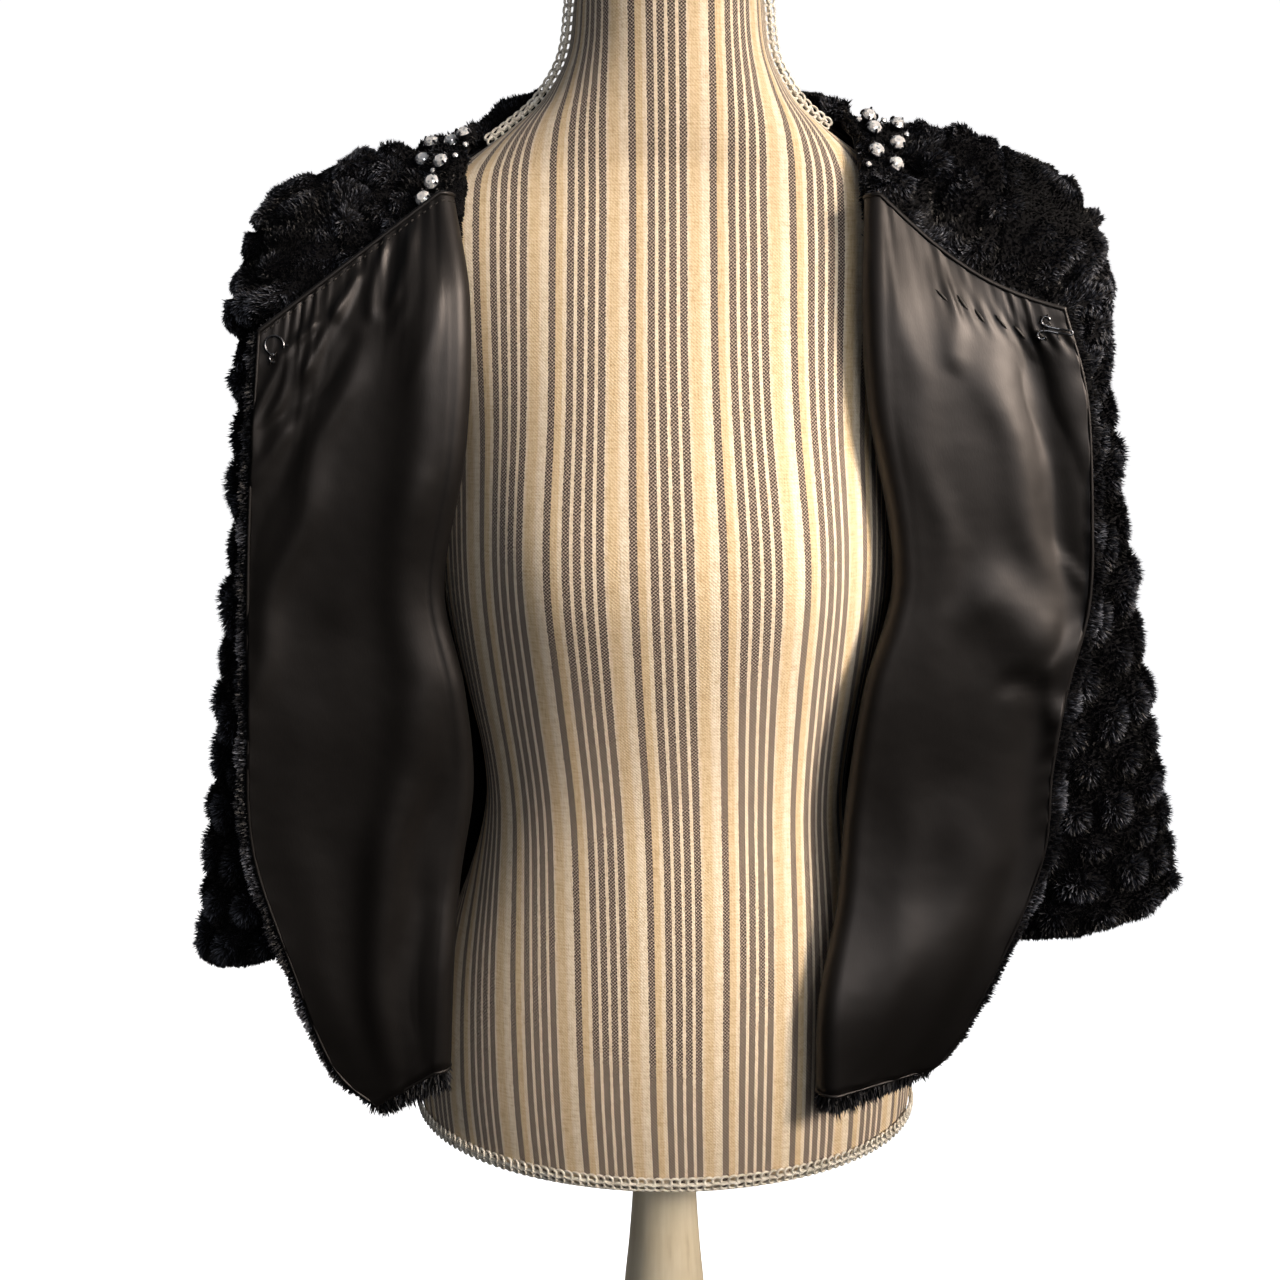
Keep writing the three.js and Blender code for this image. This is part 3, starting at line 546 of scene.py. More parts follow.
def faux_fur(look):
    """Knitted-back polyester faux fur, embossed into puffs: dull black, with painted shade at the roots and
    in the grooves, and painted highlight on the tips and the puffs' tops
    """
    material, tree, shader = new_material("polyester_faux_fur")
    tip = node(tree, "ShaderNodeAttribute", {"attribute_name": "tip"}).outputs["Fac"]
    shade = node(tree, "ShaderNodeAttribute", {"attribute_name": "shade"}).outputs["Fac"]
    puff = node(tree, "ShaderNodeAttribute", {"attribute_name": "puff"}).outputs["Fac"]
    # Painted shade and highlight: 'tip' darkens the roots and lightens the tips, and 'puff' darkens the
    # grooves and creases and lightens the puffs' tops; 'shade' only gives each hair a random tint
    uneven = math_node(tree, "MULTIPLY_ADD", shade, 0.7, 0.55)
    painted_light_tone = math_node(tree, "MULTIPLY", math_node(tree, "MULTIPLY_ADD", tip, 0.8, 0.2),
                      math_node(tree, "MULTIPLY", puff, uneven))
    colour = ramp(tree, painted_light_tone, [(0, "#010101"), (0.22, "#060607"), (0.55, "#282a30"), (1.0, "#6b6f79")])
    set_inputs(tree, shader, {
        "Base Color": colour, "Roughness": look.fur_roughness, "Specular IOR Level": 0.22,
        "Sheen Weight": 0.06, "Sheen Roughness": 0.35, "Sheen Tint": linear("#9aa0ac"),
    })
    return material


def fur_backing():
    """Knitted polyester backing under the pile: matte and nearly black between the hairs"""
    material, tree, shader = new_material("knitted_fur_backing")
    place = node(tree, "ShaderNodeTexCoord").outputs["Object"]
    noise = node(tree, "ShaderNodeTexNoise", links={"Vector": place, "Scale": 420.0, "Detail": 3.0})
    colour = ramp(tree, noise.outputs["Fac"], [(0.3, "#020203"), (0.75, "#0d0d10")])
    bump = node(
        tree, "ShaderNodeBump", links={"Height": noise.outputs["Fac"], "Distance": 0.0012, "Strength": 0.8}
    )
    set_inputs(tree, shader, {
        "Base Color": colour, "Roughness": 0.95, "Specular IOR Level": 0.15, "Normal": bump.outputs["Normal"],
    })
    return material


def satin(look):
    """Woven polyester satin: long floats give a soft sheen; the weave is drawn at 1.1 mm so that it shows"""
    material, tree, shader = new_material("polyester_lining_satin")
    uv = node(tree, "ShaderNodeUVMap", {"uv_map": "cloth"}).outputs["UV"]
    spread = node(
        tree, "ShaderNodeMapping", links={"Vector": uv, "Scale": (900.0, 260.0, 1.0)}
    ).outputs["Vector"]
    weave = node(tree, "ShaderNodeTexNoise", links={"Vector": spread, "Scale": 1.0, "Detail": 2.0})
    place = node(tree, "ShaderNodeTexCoord").outputs["Object"]
    swell = node(tree, "ShaderNodeTexNoise", links={"Vector": place, "Scale": 14.0, "Detail": 3.0})
    tone = math_node(tree, "MULTIPLY_ADD", weave.outputs["Fac"], 0.5, math_node(
        tree, "MULTIPLY", swell.outputs["Fac"], 0.5
    ))
    colour = ramp(tree, tone, [(0.25, "#040404"), (0.75, "#0a0909")])
    fine = node(tree, "ShaderNodeBump", links={
        "Height": weave.outputs["Fac"], "Distance": 0.00012, "Strength": 0.35
    })
    bump = node(tree, "ShaderNodeBump", links={
        "Height": swell.outputs["Fac"], "Distance": 0.006, "Strength": 0.3, "Normal": fine.outputs["Normal"],
    })
    set_inputs(tree, shader, {
        "Base Color": colour, "Roughness": look.satin_roughness, "Specular IOR Level": 0.44,
        "Specular Tint": linear("#f4efef"), "Anisotropic": 0.3, "Normal": bump.outputs["Normal"],
    })
    return material


def ticking(look):
    """Yarn-dyed cotton ticking: cream plain ground, brown stripes in a fine twill with flecked yarns"""
    material, tree, shader = new_material("yarn_dyed_cotton_ticking")
    uv = node(tree, "ShaderNodeUVMap", {"uv_map": "cloth"}).outputs["UV"]
    parts = node(tree, "ShaderNodeSeparateXYZ", links={"Vector": uv})
    along_weft, along_warp = parts.outputs["X"], parts.outputs["Y"]
    wander = node(
        tree, "ShaderNodeTexNoise", {"noise_dimensions": "2D"}, {"Vector": uv, "Scale": 26.0, "Detail": 2.0}
    )
    wobble = math_node(tree, "MULTIPLY_ADD", wander.outputs["Fac"], 0.022, -0.011)
    repeat = math_node(tree, "FRACT", math_node(tree, "ADD", along_weft, wobble))
    brown, cream = "#ffffff", "#000000"
    stops = [(0.0, cream), (0.137, brown), (0.227, cream)]
    for k in range(4):
        stops += [(0.37 + 0.133 * k, brown), (0.458 + 0.133 * k, cream)]
    stripe = ramp(tree, repeat, stops, "CONSTANT")
    # Threads are 0.5 mm in the cloth and drawn at 2.2 mm, 22 to a repeat, so that their dots show
    warp = math_node(tree, "SINE", math_node(tree, "MULTIPLY", along_weft, 22 * 6.2832))
    weft = math_node(tree, "SINE", math_node(tree, "MULTIPLY", along_warp, 22 * 6.2832))
    cross = math_node(tree, "MULTIPLY", warp, weft)
    slub_place = node(
        tree, "ShaderNodeMapping", links={"Vector": uv, "Scale": (46.0, 5.0, 1.0)}
    ).outputs["Vector"]
    slub = node(tree, "ShaderNodeTexNoise", links={"Vector": slub_place, "Scale": 1.0, "Detail": 4.0})
    pick_place = node(
        tree, "ShaderNodeMapping", links={"Vector": uv, "Scale": (6.0, 40.0, 1.0)}
    ).outputs["Vector"]
    pick = node(tree, "ShaderNodeTexNoise", links={"Vector": pick_place, "Scale": 1.0, "Detail": 3.0})
    fleck_place = node(
        tree, "ShaderNodeMapping", links={"Vector": uv, "Scale": (50.0, 50.0, 1.0)}
    ).outputs["Vector"]
    fleck = node(tree, "ShaderNodeTexNoise", links={"Vector": fleck_place, "Scale": 1.0, "Detail": 5.0})
    yarn = math_node(tree, "MULTIPLY_ADD", cross, 0.34, fleck.outputs["Fac"])
    brown_yarn = ramp(tree, yarn, [(0.3, look.stripe_dark), (0.5, look.stripe), (0.7, "#aea091")])
    # White yarns at the edges of each cream band, straw-coloured ones in its middle
    bands = ramp(tree, repeat, [
        (0.0, look.straw), (0.055, look.cream), (0.137, look.cream), (0.235, look.straw), (0.31, look.straw),
        (0.33, look.cream), (0.86, look.cream), (0.915, look.straw), (1.0, look.straw),
    ])
    mottle = math_node(tree, "ADD", math_node(tree, "MULTIPLY", slub.outputs["Fac"], 0.5),
                       math_node(tree, "MULTIPLY", pick.outputs["Fac"], 0.5))
    light = ramp(tree, mottle, [(0.32, "#d6cbb8"), (0.5, "#f2eee6"), (0.68, "#ffffff")])
    cream_yarn = node(tree, "ShaderNodeMix", {"data_type": "RGBA", "blend_type": "MULTIPLY"}, {
        "Factor": 1.0, 6: bands, 7: light}).outputs[2]
    colour = node(
        tree, "ShaderNodeMix", {"data_type": "RGBA"}, {"Factor": stripe, 6: cream_yarn, 7: brown_yarn}
    )
    height = math_node(tree, "ADD", cross, math_node(tree, "MULTIPLY", slub.outputs["Fac"], 1.5))
    bump = node(tree, "ShaderNodeBump", links={"Height": height, "Distance": 0.0003, "Strength": 0.5})
    set_inputs(tree, shader, {
        "Base Color": colour.outputs[2], "Roughness": 0.88, "Specular IOR Level": 0.2,
        "Sheen Weight": 0.15, "Normal": bump.outputs["Normal"],
    })
    return material


def cotton_braid():
    """Mercerised cotton gimp: off-white cord with a fine twist and a little soiling in random patches"""
    material, tree, shader = new_material("mercerised_cotton_gimp")
    place = node(tree, "ShaderNodeTexCoord").outputs["Object"]
    twist = node(
        tree, "ShaderNodeTexWave", {"bands_direction": "DIAGONAL"}, {"Vector": place, "Scale": 420.0}
    )
    noise = node(tree, "ShaderNodeTexNoise", links={"Vector": place, "Scale": 180.0, "Detail": 3.0})
    colour = ramp(tree, noise.outputs["Fac"], [(0.3, "#b7b0a2"), (0.6, "#e0dcd0"), (0.8, "#f2f0ea")])
    bump = node(
        tree, "ShaderNodeBump", links={"Height": twist.outputs["Fac"], "Distance": 0.0003, "Strength": 0.6}
    )
    set_inputs(tree, shader, {"Base Color": colour, "Roughness": 0.7, "Normal": bump.outputs["Normal"]})
    return material


def painted_wood():
    """Turned wood under hand-brushed cream chalk paint: streaks along the pole, worn a little in random
    patches
    """
    material, tree, shader = new_material("brushed_chalk_paint_on_wood")
    place = node(tree, "ShaderNodeTexCoord").outputs["Object"]
    strokes = node(
        tree, "ShaderNodeMapping", links={"Vector": place, "Scale": (180.0, 180.0, 9.0)}
    ).outputs["Vector"]
    brush = node(tree, "ShaderNodeTexNoise", links={"Vector": strokes, "Scale": 1.0, "Detail": 4.0})
    patch = node(tree, "ShaderNodeTexNoise", links={"Vector": place, "Scale": 18.0, "Detail": 5.0})
    tone = math_node(tree, "MULTIPLY_ADD", brush.outputs["Fac"], 0.45, math_node(
        tree, "MULTIPLY", patch.outputs["Fac"], 0.55
    ))
    colour = ramp(tree, tone, [(0.3, "#b7a98a"), (0.45, "#d6cbb0"), (0.65, "#e6ddc6")])
    bump = node(tree, "ShaderNodeBump", links={"Height": tone, "Distance": 0.0008, "Strength": 0.5})
    set_inputs(tree, shader, {"Base Color": colour, "Roughness": 0.55, "Normal": bump.outputs["Normal"]})
    return material


def plain_metal(name, code, roughness):
    """Plated metal, rubbed a little: its roughness wanders over a few millimetres"""
    material, tree, shader = new_material(name)
    place = node(tree, "ShaderNodeTexCoord").outputs["Object"]
    rub = node(tree, "ShaderNodeTexNoise", links={"Vector": place, "Scale": 300.0, "Detail": 2.0})
    rough = math_node(tree, "MULTIPLY_ADD", rub.outputs["Fac"], 0.25, roughness)
    set_inputs(tree, shader, {"Base Color": linear(code), "Metallic": 1.0, "Roughness": rough})
    return material


def foiled_glass():
    """Cut lead glass with a silvered back: bright facets that reflect the room, with a clear hard surface;
    their brightness is partly painted reflection, small grey-to-white spots that stand for the foil's flashes
    """
    material, tree, shader = new_material("foiled_crystal_glass")
    place = node(tree, "ShaderNodeTexCoord").outputs["Object"]
    painted_flash_spots = node(tree, "ShaderNodeTexVoronoi", links={"Vector": place, "Scale": 420.0})
    # Painted reflection: grey at the middle of each small spot to white at its rim, standing in for the
    # foil's flashes seen through the facets
    colour = ramp(tree, painted_flash_spots.outputs["Distance"], [(0.1, "#7f888f"), (0.3, "#d5dce1"), (0.55, "#ffffff")])
    set_inputs(tree, shader, {
        "Base Color": colour, "Metallic": 0.5, "Roughness": 0.05, "Coat Weight": 1.0, "Coat Roughness": 0.02,
    })
    return material


def plain_thread():
    """Black sewing thread: matte twisted polyester; its twist is painted, with painted shade in the grooves
    and painted highlight on the strands
    """
    material, tree, shader = new_material("polyester_sewing_thread")
    place = node(tree, "ShaderNodeTexCoord").outputs["Object"]
    painted_twist_shade = node(tree, "ShaderNodeTexWave", {"bands_direction": "DIAGONAL"}, {"Vector": place, "Scale": 700.0})
    # Painted shade and highlight of the twist: dark bands in its grooves, lighter bands on its strands
    colour = ramp(tree, painted_twist_shade.outputs["Fac"], [(0.2, "#060505"), (0.8, "#24201d")])
    set_inputs(tree, shader, {"Base Color": colour, "Roughness": 0.6})
    return material


SOCKET_KINDS = {float: "NodeSocketFloat", int: "NodeSocketInt", type(None): "NodeSocketMaterial"}


def tree_with(name, inputs):
    """An empty geometry tree with named inputs; returns it, what its inputs give and its output node"""
    tree = bpy.data.node_groups.new(name, "GeometryNodeTree")
    tree.interface.new_socket("Geometry", in_out="INPUT", socket_type="NodeSocketGeometry")
    for label, value in inputs.items():
        socket = tree.interface.new_socket(label, in_out="INPUT", socket_type=SOCKET_KINDS[type(value)])
        if value is not None:
            socket.default_value = value
    tree.interface.new_socket("Geometry", in_out="OUTPUT", socket_type="NodeSocketGeometry")
    return tree, node(tree, "NodeGroupInput").outputs, node(tree, "NodeGroupOutput")


def grown(source, tree, name, values):
    """The mesh that a geometry tree makes on an object, as a new plain object"""
    modifier = source.modifiers.new("grow", "NODES")
    modifier.node_group = tree
    for item in tree.interface.items_tree:
        if item.in_out == "INPUT" and item.name in values:
            modifier[item.identifier] = values[item.name]
    bpy.context.view_layer.update()
    held = source.evaluated_get(bpy.context.evaluated_depsgraph_get())
    mesh = bpy.data.meshes.new_from_object(held)
    source.modifiers.remove(modifier)
    mesh.name = name
    made = bpy.data.objects.new(name, mesh)
    bpy.context.scene.collection.objects.link(made)
    return made


def named_attribute(tree, name, kind="FLOAT"):
    """A named attribute of the mesh that a tree grows on"""
    made = node(tree, "GeometryNodeInputNamedAttribute", {"data_type": kind}, {"Name": name})
    return made.outputs["Attribute"]


def vector_node(tree, operation, links):
    """One vector sum"""
    return node(tree, "ShaderNodeVectorMath", {"operation": operation}, links).outputs[0]


def vector_of(tree, x, y, z):
    """A vector from three numbers or sockets"""
    return node(tree, "ShaderNodeCombineXYZ", links={"X": x, "Y": y, "Z": z}).outputs[0]


def position_of(tree):
    """The parts of each point's place"""
    place = node(tree, "GeometryNodeInputPosition").outputs[0]
    return node(tree, "ShaderNodeSeparateXYZ", links={0: place}).outputs


def random_number(tree, low, high, seed):
    """A random number for each copy"""
    made = node(tree, "FunctionNodeRandomValue", {"data_type": "FLOAT"}, {2: low, 3: high, "Seed": seed})
    return made.outputs[1]


def turned_about(tree, rotation, axis, angle):
    """A rotation, turned further about one of its own axes"""
    more = node(tree, "FunctionNodeAxisAngleToRotation", links={"Axis": axis, "Angle": angle})
    links = {0: rotation, 1: more.outputs[0]}
    return node(tree, "FunctionNodeRotateRotation", {"rotation_space": "LOCAL"}, links).outputs[0]


def stored(tree, domain, geometry, name, value):
    """Geometry with a number kept on it by name"""
    links = {"Geometry": geometry, "Name": name, "Value": value}
    settings = {"data_type": "FLOAT", "domain": domain}
    return node(tree, "GeometryNodeStoreNamedAttribute", settings, links).outputs[0]


def end_tree(tree, given, out, copies, smooth):
    """Ends a tree with real geometry in its material"""
    shape = node(tree, "GeometryNodeRealizeInstances", links={"Geometry": copies}).outputs[0]
    if smooth:
        shape = node(tree, "GeometryNodeSetShadeSmooth", links={"Geometry": shape}).outputs[0]
    done = node(tree, "GeometryNodeSetMaterial", links={"Geometry": shape, "Material": given["Material"]})
    tree.links.new(done.outputs[0], out.inputs[0])
    return tree


def pile_tree():
    """Scatters leaning hairs on a wall: its attributes give the density, length and lean at each place"""
    tree, given, out = tree_with("pile", {
        "Density": 700000.0, "Width": 0.0012, "Spread": 0.35, "Seed": 1, "Material": None,
    })
    dense = math_node(tree, "MULTIPLY", given["Density"], named_attribute(tree, "pile_density"))
    points = node(tree, "GeometryNodeDistributePointsOnFaces", {}, {
        "Mesh": given["Geometry"], "Density": dense, "Seed": given["Seed"],
    })
    # One hair: a narrow triangle from its root up
    triangle = node(tree, "GeometryNodeMeshCircle", {"fill_type": "NGON"}, {"Vertices": 3, "Radius": 1.0})
    corner = position_of(tree)
    up = math_node(tree, "MULTIPLY_ADD", corner["X"], 1 / 1.5, 1 / 3)
    across = math_node(tree, "MULTIPLY", corner["Y"], math_node(tree, "MULTIPLY", given["Width"], 1 / 1.732))
    hair = node(tree, "GeometryNodeSetPosition", links={
        "Geometry": triangle.outputs["Mesh"], "Position": vector_of(tree, 0.0, across, up),
    })
    # 'tip' runs from 0 at a hair's root to 1 at its tip; the fur's colour paints shade at the roots and
    # highlight at the tips with it
    hair = stored(tree, "POINT", hair.outputs[0], "tip", position_of(tree)["Z"])
    # Direction: away from the wall, combed over by the lean, and uneven
    stray = node(tree, "FunctionNodeRandomValue", {"data_type": "FLOAT_VECTOR"}, {
        0: (-1.0, -1.0, -1.0), 1: (1.0, 1.0, 1.0), "Seed": 11,
    })
    stray = vector_node(tree, "SCALE", {0: stray.outputs[0], "Scale": given["Spread"]})
    lean = named_attribute(tree, "lean", "FLOAT_VECTOR")
    combed = vector_node(tree, "ADD", {0: points.outputs["Normal"], 1: lean})
    aim = vector_node(tree, "ADD", {0: combed, 1: stray})
    turn = node(tree, "FunctionNodeAlignRotationToVector", {"axis": "Z"}, {"Vector": aim}).outputs[0]
    spun = turned_about(tree, turn, (0.0, 0.0, 1.0), random_number(tree, 0.0, 6.283, 5))
    vary = random_number(tree, 0.65, 1.15, 7)
    long = math_node(tree, "MULTIPLY", named_attribute(tree, "pile_length"), vary)
    put = node(tree, "GeometryNodeInstanceOnPoints", links={
        "Points": points.outputs["Points"], "Instance": hair, "Rotation": spun,
        "Scale": vector_of(tree, 1.0, 1.0, long),
    })
    put = stored(tree, "INSTANCE", put.outputs[0], "shade", random_number(tree, 0.0, 1.0, 3))
    return end_tree(tree, given, out, put, False)


def copies_along(tree, given, thing, axis, angle):
    """Copies of a thing along the tree's line, square to the cloth and turned about one of their axes"""
    line = node(tree, "GeometryNodeMeshToCurve", links={"Mesh": given["Geometry"]}).outputs[0]
    links = {"Curve": line, "Length": given["Pitch"]}
    even = node(tree, "GeometryNodeResampleCurve", {"mode": "LENGTH"}, links).outputs[0]
    away = named_attribute(tree, "away", "FLOAT_VECTOR")
    run = node(tree, "GeometryNodeInputTangent").outputs[0]
    axes = {"primary_axis": "Z", "secondary_axis": "X"}
    turn = node(tree, "FunctionNodeAxesToRotation", axes, {0: away, 1: run}).outputs[0]
    put = node(tree, "GeometryNodeInstanceOnPoints", links={
        "Points": even, "Instance": thing, "Rotation": turned_about(tree, turn, axis, angle),
    })
    return put.outputs[0]


def loop_tree():
    """Repeats a small ring of cord along a line whose points hold the direction away from the cloth"""
    tree, given, out = tree_with("cord_loops", {
        "Pitch": 0.005, "Long": 0.0026, "Wide": 0.0034, "Cord": 0.0009, "Tilt": 0.0, "Material": None,
    })
    ring = node(tree, "GeometryNodeCurvePrimitiveCircle", links={"Resolution": 10, "Radius": 1.0})
    size = vector_of(tree, given["Long"], given["Wide"], 1.0)
    ring = node(tree, "GeometryNodeTransform", links={"Geometry": ring.outputs[0], "Scale": size})
    section = node(tree, "GeometryNodeCurvePrimitiveCircle", links={"Resolution": 5, "Radius": given["Cord"]})
    links = {"Curve": ring.outputs[0], "Profile Curve": section.outputs[0]}
    cord = node(tree, "GeometryNodeCurveToMesh", links=links).outputs[0]
    put = copies_along(tree, given, cord, (1.0, 0.0, 0.0), given["Tilt"])
    return end_tree(tree, given, out, put, True)


def stitch_tree():
    """Repeats a short thread bar along a line whose points hold the direction away from the cloth"""
    tree, given, out = tree_with("stitches", {
        "Pitch": 0.005, "Length": 0.003, "Thread": 0.0005, "Turn": 0.0, "Material": None,
    })
    ball = node(tree, "GeometryNodeMeshUVSphere", links={"Segments": 6, "Rings": 5, "Radius": 1.0})
    half = math_node(tree, "MULTIPLY", given["Length"], 0.5)
    size = vector_of(tree, half, given["Thread"], given["Thread"])
    bar = node(
        tree, "GeometryNodeTransform", links={"Geometry": ball.outputs["Mesh"], "Scale": size}
    ).outputs[0]
    put = copies_along(tree, given, bar, (0.0, 0.0, 1.0), given["Turn"])
    return end_tree(tree, given, out, put, True)


def line_object(points, away, closed=False):
    """A line of edges for a tree to follow, with the direction away from the cloth at each point"""
    count = len(points)
    edges = [(k, (k + 1) % count) for k in range(count if closed else count - 1)]
    mesh = bpy.data.meshes.new("line")
    mesh.from_pydata(metres(points).tolist(), edges, [])
    mesh.attributes.new("away", "FLOAT_VECTOR", "POINT").data.foreach_set(
        "vector", np.asarray(away, float).ravel()
    )
    made = bpy.data.objects.new("line", mesh)
    bpy.context.scene.collection.objects.link(made)
    return made


def repeated(points, away, tree, name, values, closed=False):
    """What a tree repeats along a line, as a plain object"""
    line = line_object(points, away, closed)
    made = grown(line, tree, name, values)
    bpy.data.objects.remove(line)
    return made


def tube(name, points, radius, sides=8, closed=False):
    """Round cord or wire along points in millimetres, with closed ends"""
    p = np.asarray(points, float)
    count = len(p)
    if closed:
        t = unit(np.roll(p, -1, 0) - np.roll(p, 1, 0))
    else:
        t = unit(np.gradient(p, axis=0))
    across = unit(np.cross(t, [0.15, 1, 0.1]))
    up = np.cross(across, t)
    a = 2 * np.pi * np.arange(sides) / sides
    radius = np.broadcast_to(np.asarray(radius, float), (count,))[:, None, None]
    rings = p[:, None] + radius * (
        across[:, None] * np.cos(a)[None, :, None] + up[:, None] * np.sin(a)[None, :, None]
    )
    return rings_object(name, rings, closed)


def rings_object(name, rings, closed=False, uv=None, smooth=True):
    """A solid from rings of equal count; open ends are closed by a fan of quads to a middle point"""
    count, sides = rings.shape[:2]
    j, i = (g.ravel() for g in np.meshgrid(np.arange(count - (not closed)), np.arange(sides), indexing="ij"))
    k, m = (j + 1) % count, (i + 1) % sides
    quads = np.stack([j * sides + i, j * sides + m, k * sides + m, k * sides + i], 1)
    points = rings.reshape(-1, 3)
    marks = None
    if uv is not None:
        wide = sides + 1
        marks = np.stack([j * wide + i, j * wide + i + 1, (j + 1) * wide + i + 1, (j + 1) * wide + i], 1)
    if not closed:
        caps = []
        cap_marks = []
        for end in (0, count - 1):
            points = np.concatenate([points, rings[end].mean(0)[None]])
            hub = len(points) - 1
            a = np.arange(0, sides, 2)
            b, c = a + 1, (a + 2) % sides
            cap = np.stack([np.full(len(a), hub), end * sides + a, end * sides + b, end * sides + c], 1)
            caps.append(cap if end else cap[:, ::-1])
            if marks is not None:
                cm = np.stack([end * wide + a, end * wide + a, end * wide + b, end * wide + a + 2], 1)
                cap_marks.append(cm if end else cm[:, ::-1])
        quads = np.concatenate([quads] + caps)
        if marks is not None:
            marks = np.concatenate([marks] + cap_marks)
    if marks is not None:
        uv = uv.reshape(-1, 2)[marks]
    return mesh_object(name, points, quads, uv, smooth=smooth)


def lean_towards(normal, direction, amount):
    """Direction along the cloth at each point, as the pile's lean"""
    flat = direction - (direction * normal).sum(-1, keepdims=True) * normal
    return unit(flat) * amount


def pixels(p):
    """Where points in millimetres appear in the photograph's frame of 1280 x 1280"""
    c, s = math.cos(CAMERA_TILT), math.sin(CAMERA_TILT)
    ahead, up = CAMERA_AHEAD + p[..., 1], p[..., 2] - CAMERA_UP
    depth = ahead * c - up * s
    high = up * c + ahead * s
    return PHOTO * (0.5 + (p[..., 0] - CAMERA_SIDE) / depth), PHOTO * (0.5 - high / depth)


SPOTS = {}


def stone_spots(name):
    """Place, normal and diameter of each stone, where it lies on the flattened fur beside the neck"""
    if name not in SPOTS:
        side = SIDES[name]
        us, vs = np.linspace(0.06, 0.415, 90), np.linspace(0.0, 0.24, 90)
        base, normal, u, v = face_grid(lambda a, b: front_face(side, a, b), us, vs, side["sign"])
        top = base + normal * (BACKING + 2.2)
        x, y = pixels(top)
        SPOTS[name] = []
        for right, down, wide in STONES[name]:
            far = np.hypot(
                x - TRIM_PIXEL[name][0] - right * TRIM_SCALE, y - TRIM_PIXEL[name][1] - down * TRIM_SCALE
            )
            far = np.where(normal[..., 1] < 0.2, far, 1e3)
            best = np.unravel_index(far.argmin(), far.shape)
            SPOTS[name].append((top[best], normal[best], wide))
    return SPOTS[name]


def front_share(side, name, u, v):
    """How far the pile stands up on a front: flat near the roll, seams and stones"""
    roll = np.where(u < ROLL_FROM, (ROLL_FROM - u) / 0.17, np.where(u > ROLL_TO, (u - ROLL_TO) / 0.13, 0))
    shoulder = 1 - ease((v - 0.26) / 0.12)
    seam = ease(u / 0.07 + 0.5 * shoulder) * ease(v / 0.1 + np.where(u > ROLL_TO, 0.5, 0.62))
    p = front_face(side, u, v)
    far = np.min([np.linalg.norm(p - spot, axis=-1) for spot, _, _ in stone_spots(name)], axis=0)
    pressed = np.where(u < ROLL_TO, ease((far - 8) / 9), 1)
    return ease(roll) * seam * pressed


def fur_wall(name, face, us, vs, flip, rise, counts, seed, loop=False, border=None, matted=None):
    """Backing with its puffs, as an object that still needs its looks; it holds the density, length, lean and
    painted tone of the pile that grows on it
    """
    look = bpy.context.scene.shrug_cloth
    base, normal, u, v = face_grid(face, us, vs, flip, loop)
    i, j = counts(u, v)
    k = matted(u, v)
    puff = puffs(i, j, seed) * (1 - k) + crumples(base) * k
    share = rise(u, v)
    outer = base + normal * (BACKING + share * (PILE - 0.6) * (1 + 0.45 * k) * puff)[..., None]
    inner = base + normal * (GAP / 2)
    gu = np.roll(outer, -1, 1) - np.roll(outer, 1, 1) if loop else np.gradient(outer, axis=1)
    gv = np.gradient(outer, axis=0)
    out = unit(np.cross(gu, gv)) * flip
    comb = waves(u * 2, v * 3, seed + 5, 6, 2, 6)
    side_way = gu * comb[..., None] * 0.6
    swirl = np.stack([swell(base, 30 + axis, 40, 90) for axis in range(3)], -1) * 2 * k[..., None]
    lean_out = lean_towards(out, unit(gv) + unit(side_way) * 0.5 * np.abs(comb)[..., None] + swirl, 1)
    lean_out = lean_out * (0.3 + 0.8 * k)[..., None]
    lean_out = lean_out + (out - normal) * 0.9
    length = look.pile_length * (0.3 + 0.7 * puff) * (0.75 + 0.25 * share) * (1 - 0.35 * k)
    # Painted shade and highlight for the hairs: dark in the grooves between puffs, in the matted shoulders'
    # creases and where the pile lies flat by the seams, roll and stones; light on the puffs' tops
    tone = ease((puff - 0.3) / 0.5) * (share + (1 - share) * (0.35 + 0.35 * k)) + 0.05
    dense_out = np.ones(u.shape)
    lean_in = np.zeros_like(lean_out)
    dense_in = np.zeros(u.shape)
    length_in = length.copy()
    if border is not None:
        dense_out, dense_in, away_u, away_v, length_in = border(u, v, length)
        push = unit(gu) * away_u[..., None] + unit(gv) * away_v[..., None]
        strong = np.clip(np.hypot(away_u, away_v), 0, 1)[..., None]
        lean_in = unit(push) * 1.6 * strong
        lean_out = lean_out * (1 - strong) + unit(push) * 1.2 * strong
        # The hairs at the edges are kept out of the painted groove shade
        tone = np.maximum(tone, 0.55 * strong[..., 0])
        length = np.where(strong[..., 0] > 0.05, length_in, length)
    # 'puff' carries the hairs' painted shade and highlight to the pile
    values = {
        "pile_density": np.concatenate([dense_out.ravel(), dense_in.ravel()]),
        "pile_length": np.concatenate([length.ravel(), length_in.ravel()]) / 1000,
        "lean": np.concatenate([lean_out.reshape(-1, 3), lean_in.reshape(-1, 3)]),
        "puff": np.concatenate([tone.ravel(), tone.ravel()]),
    }
    ends = np.concatenate([us, [us[0] + 1]]) if loop else us
    uv = np.stack(np.meshgrid(ends * 0.36, vs * 0.5), -1)
    return wall(name, outer, inner, uv, loop, values)


def front_counts(u, v):
    """Half puffs across and along a front, as its solid has them"""
    stops = np.concatenate([np.linspace(0, ROLL_FROM, 6), np.linspace(ROLL_FROM, ROLL_TO, 5)[1:],
                            np.linspace(ROLL_TO, 1, 11)[1:]])
    return np.interp(u, stops, np.arange(len(stops))), v * 30


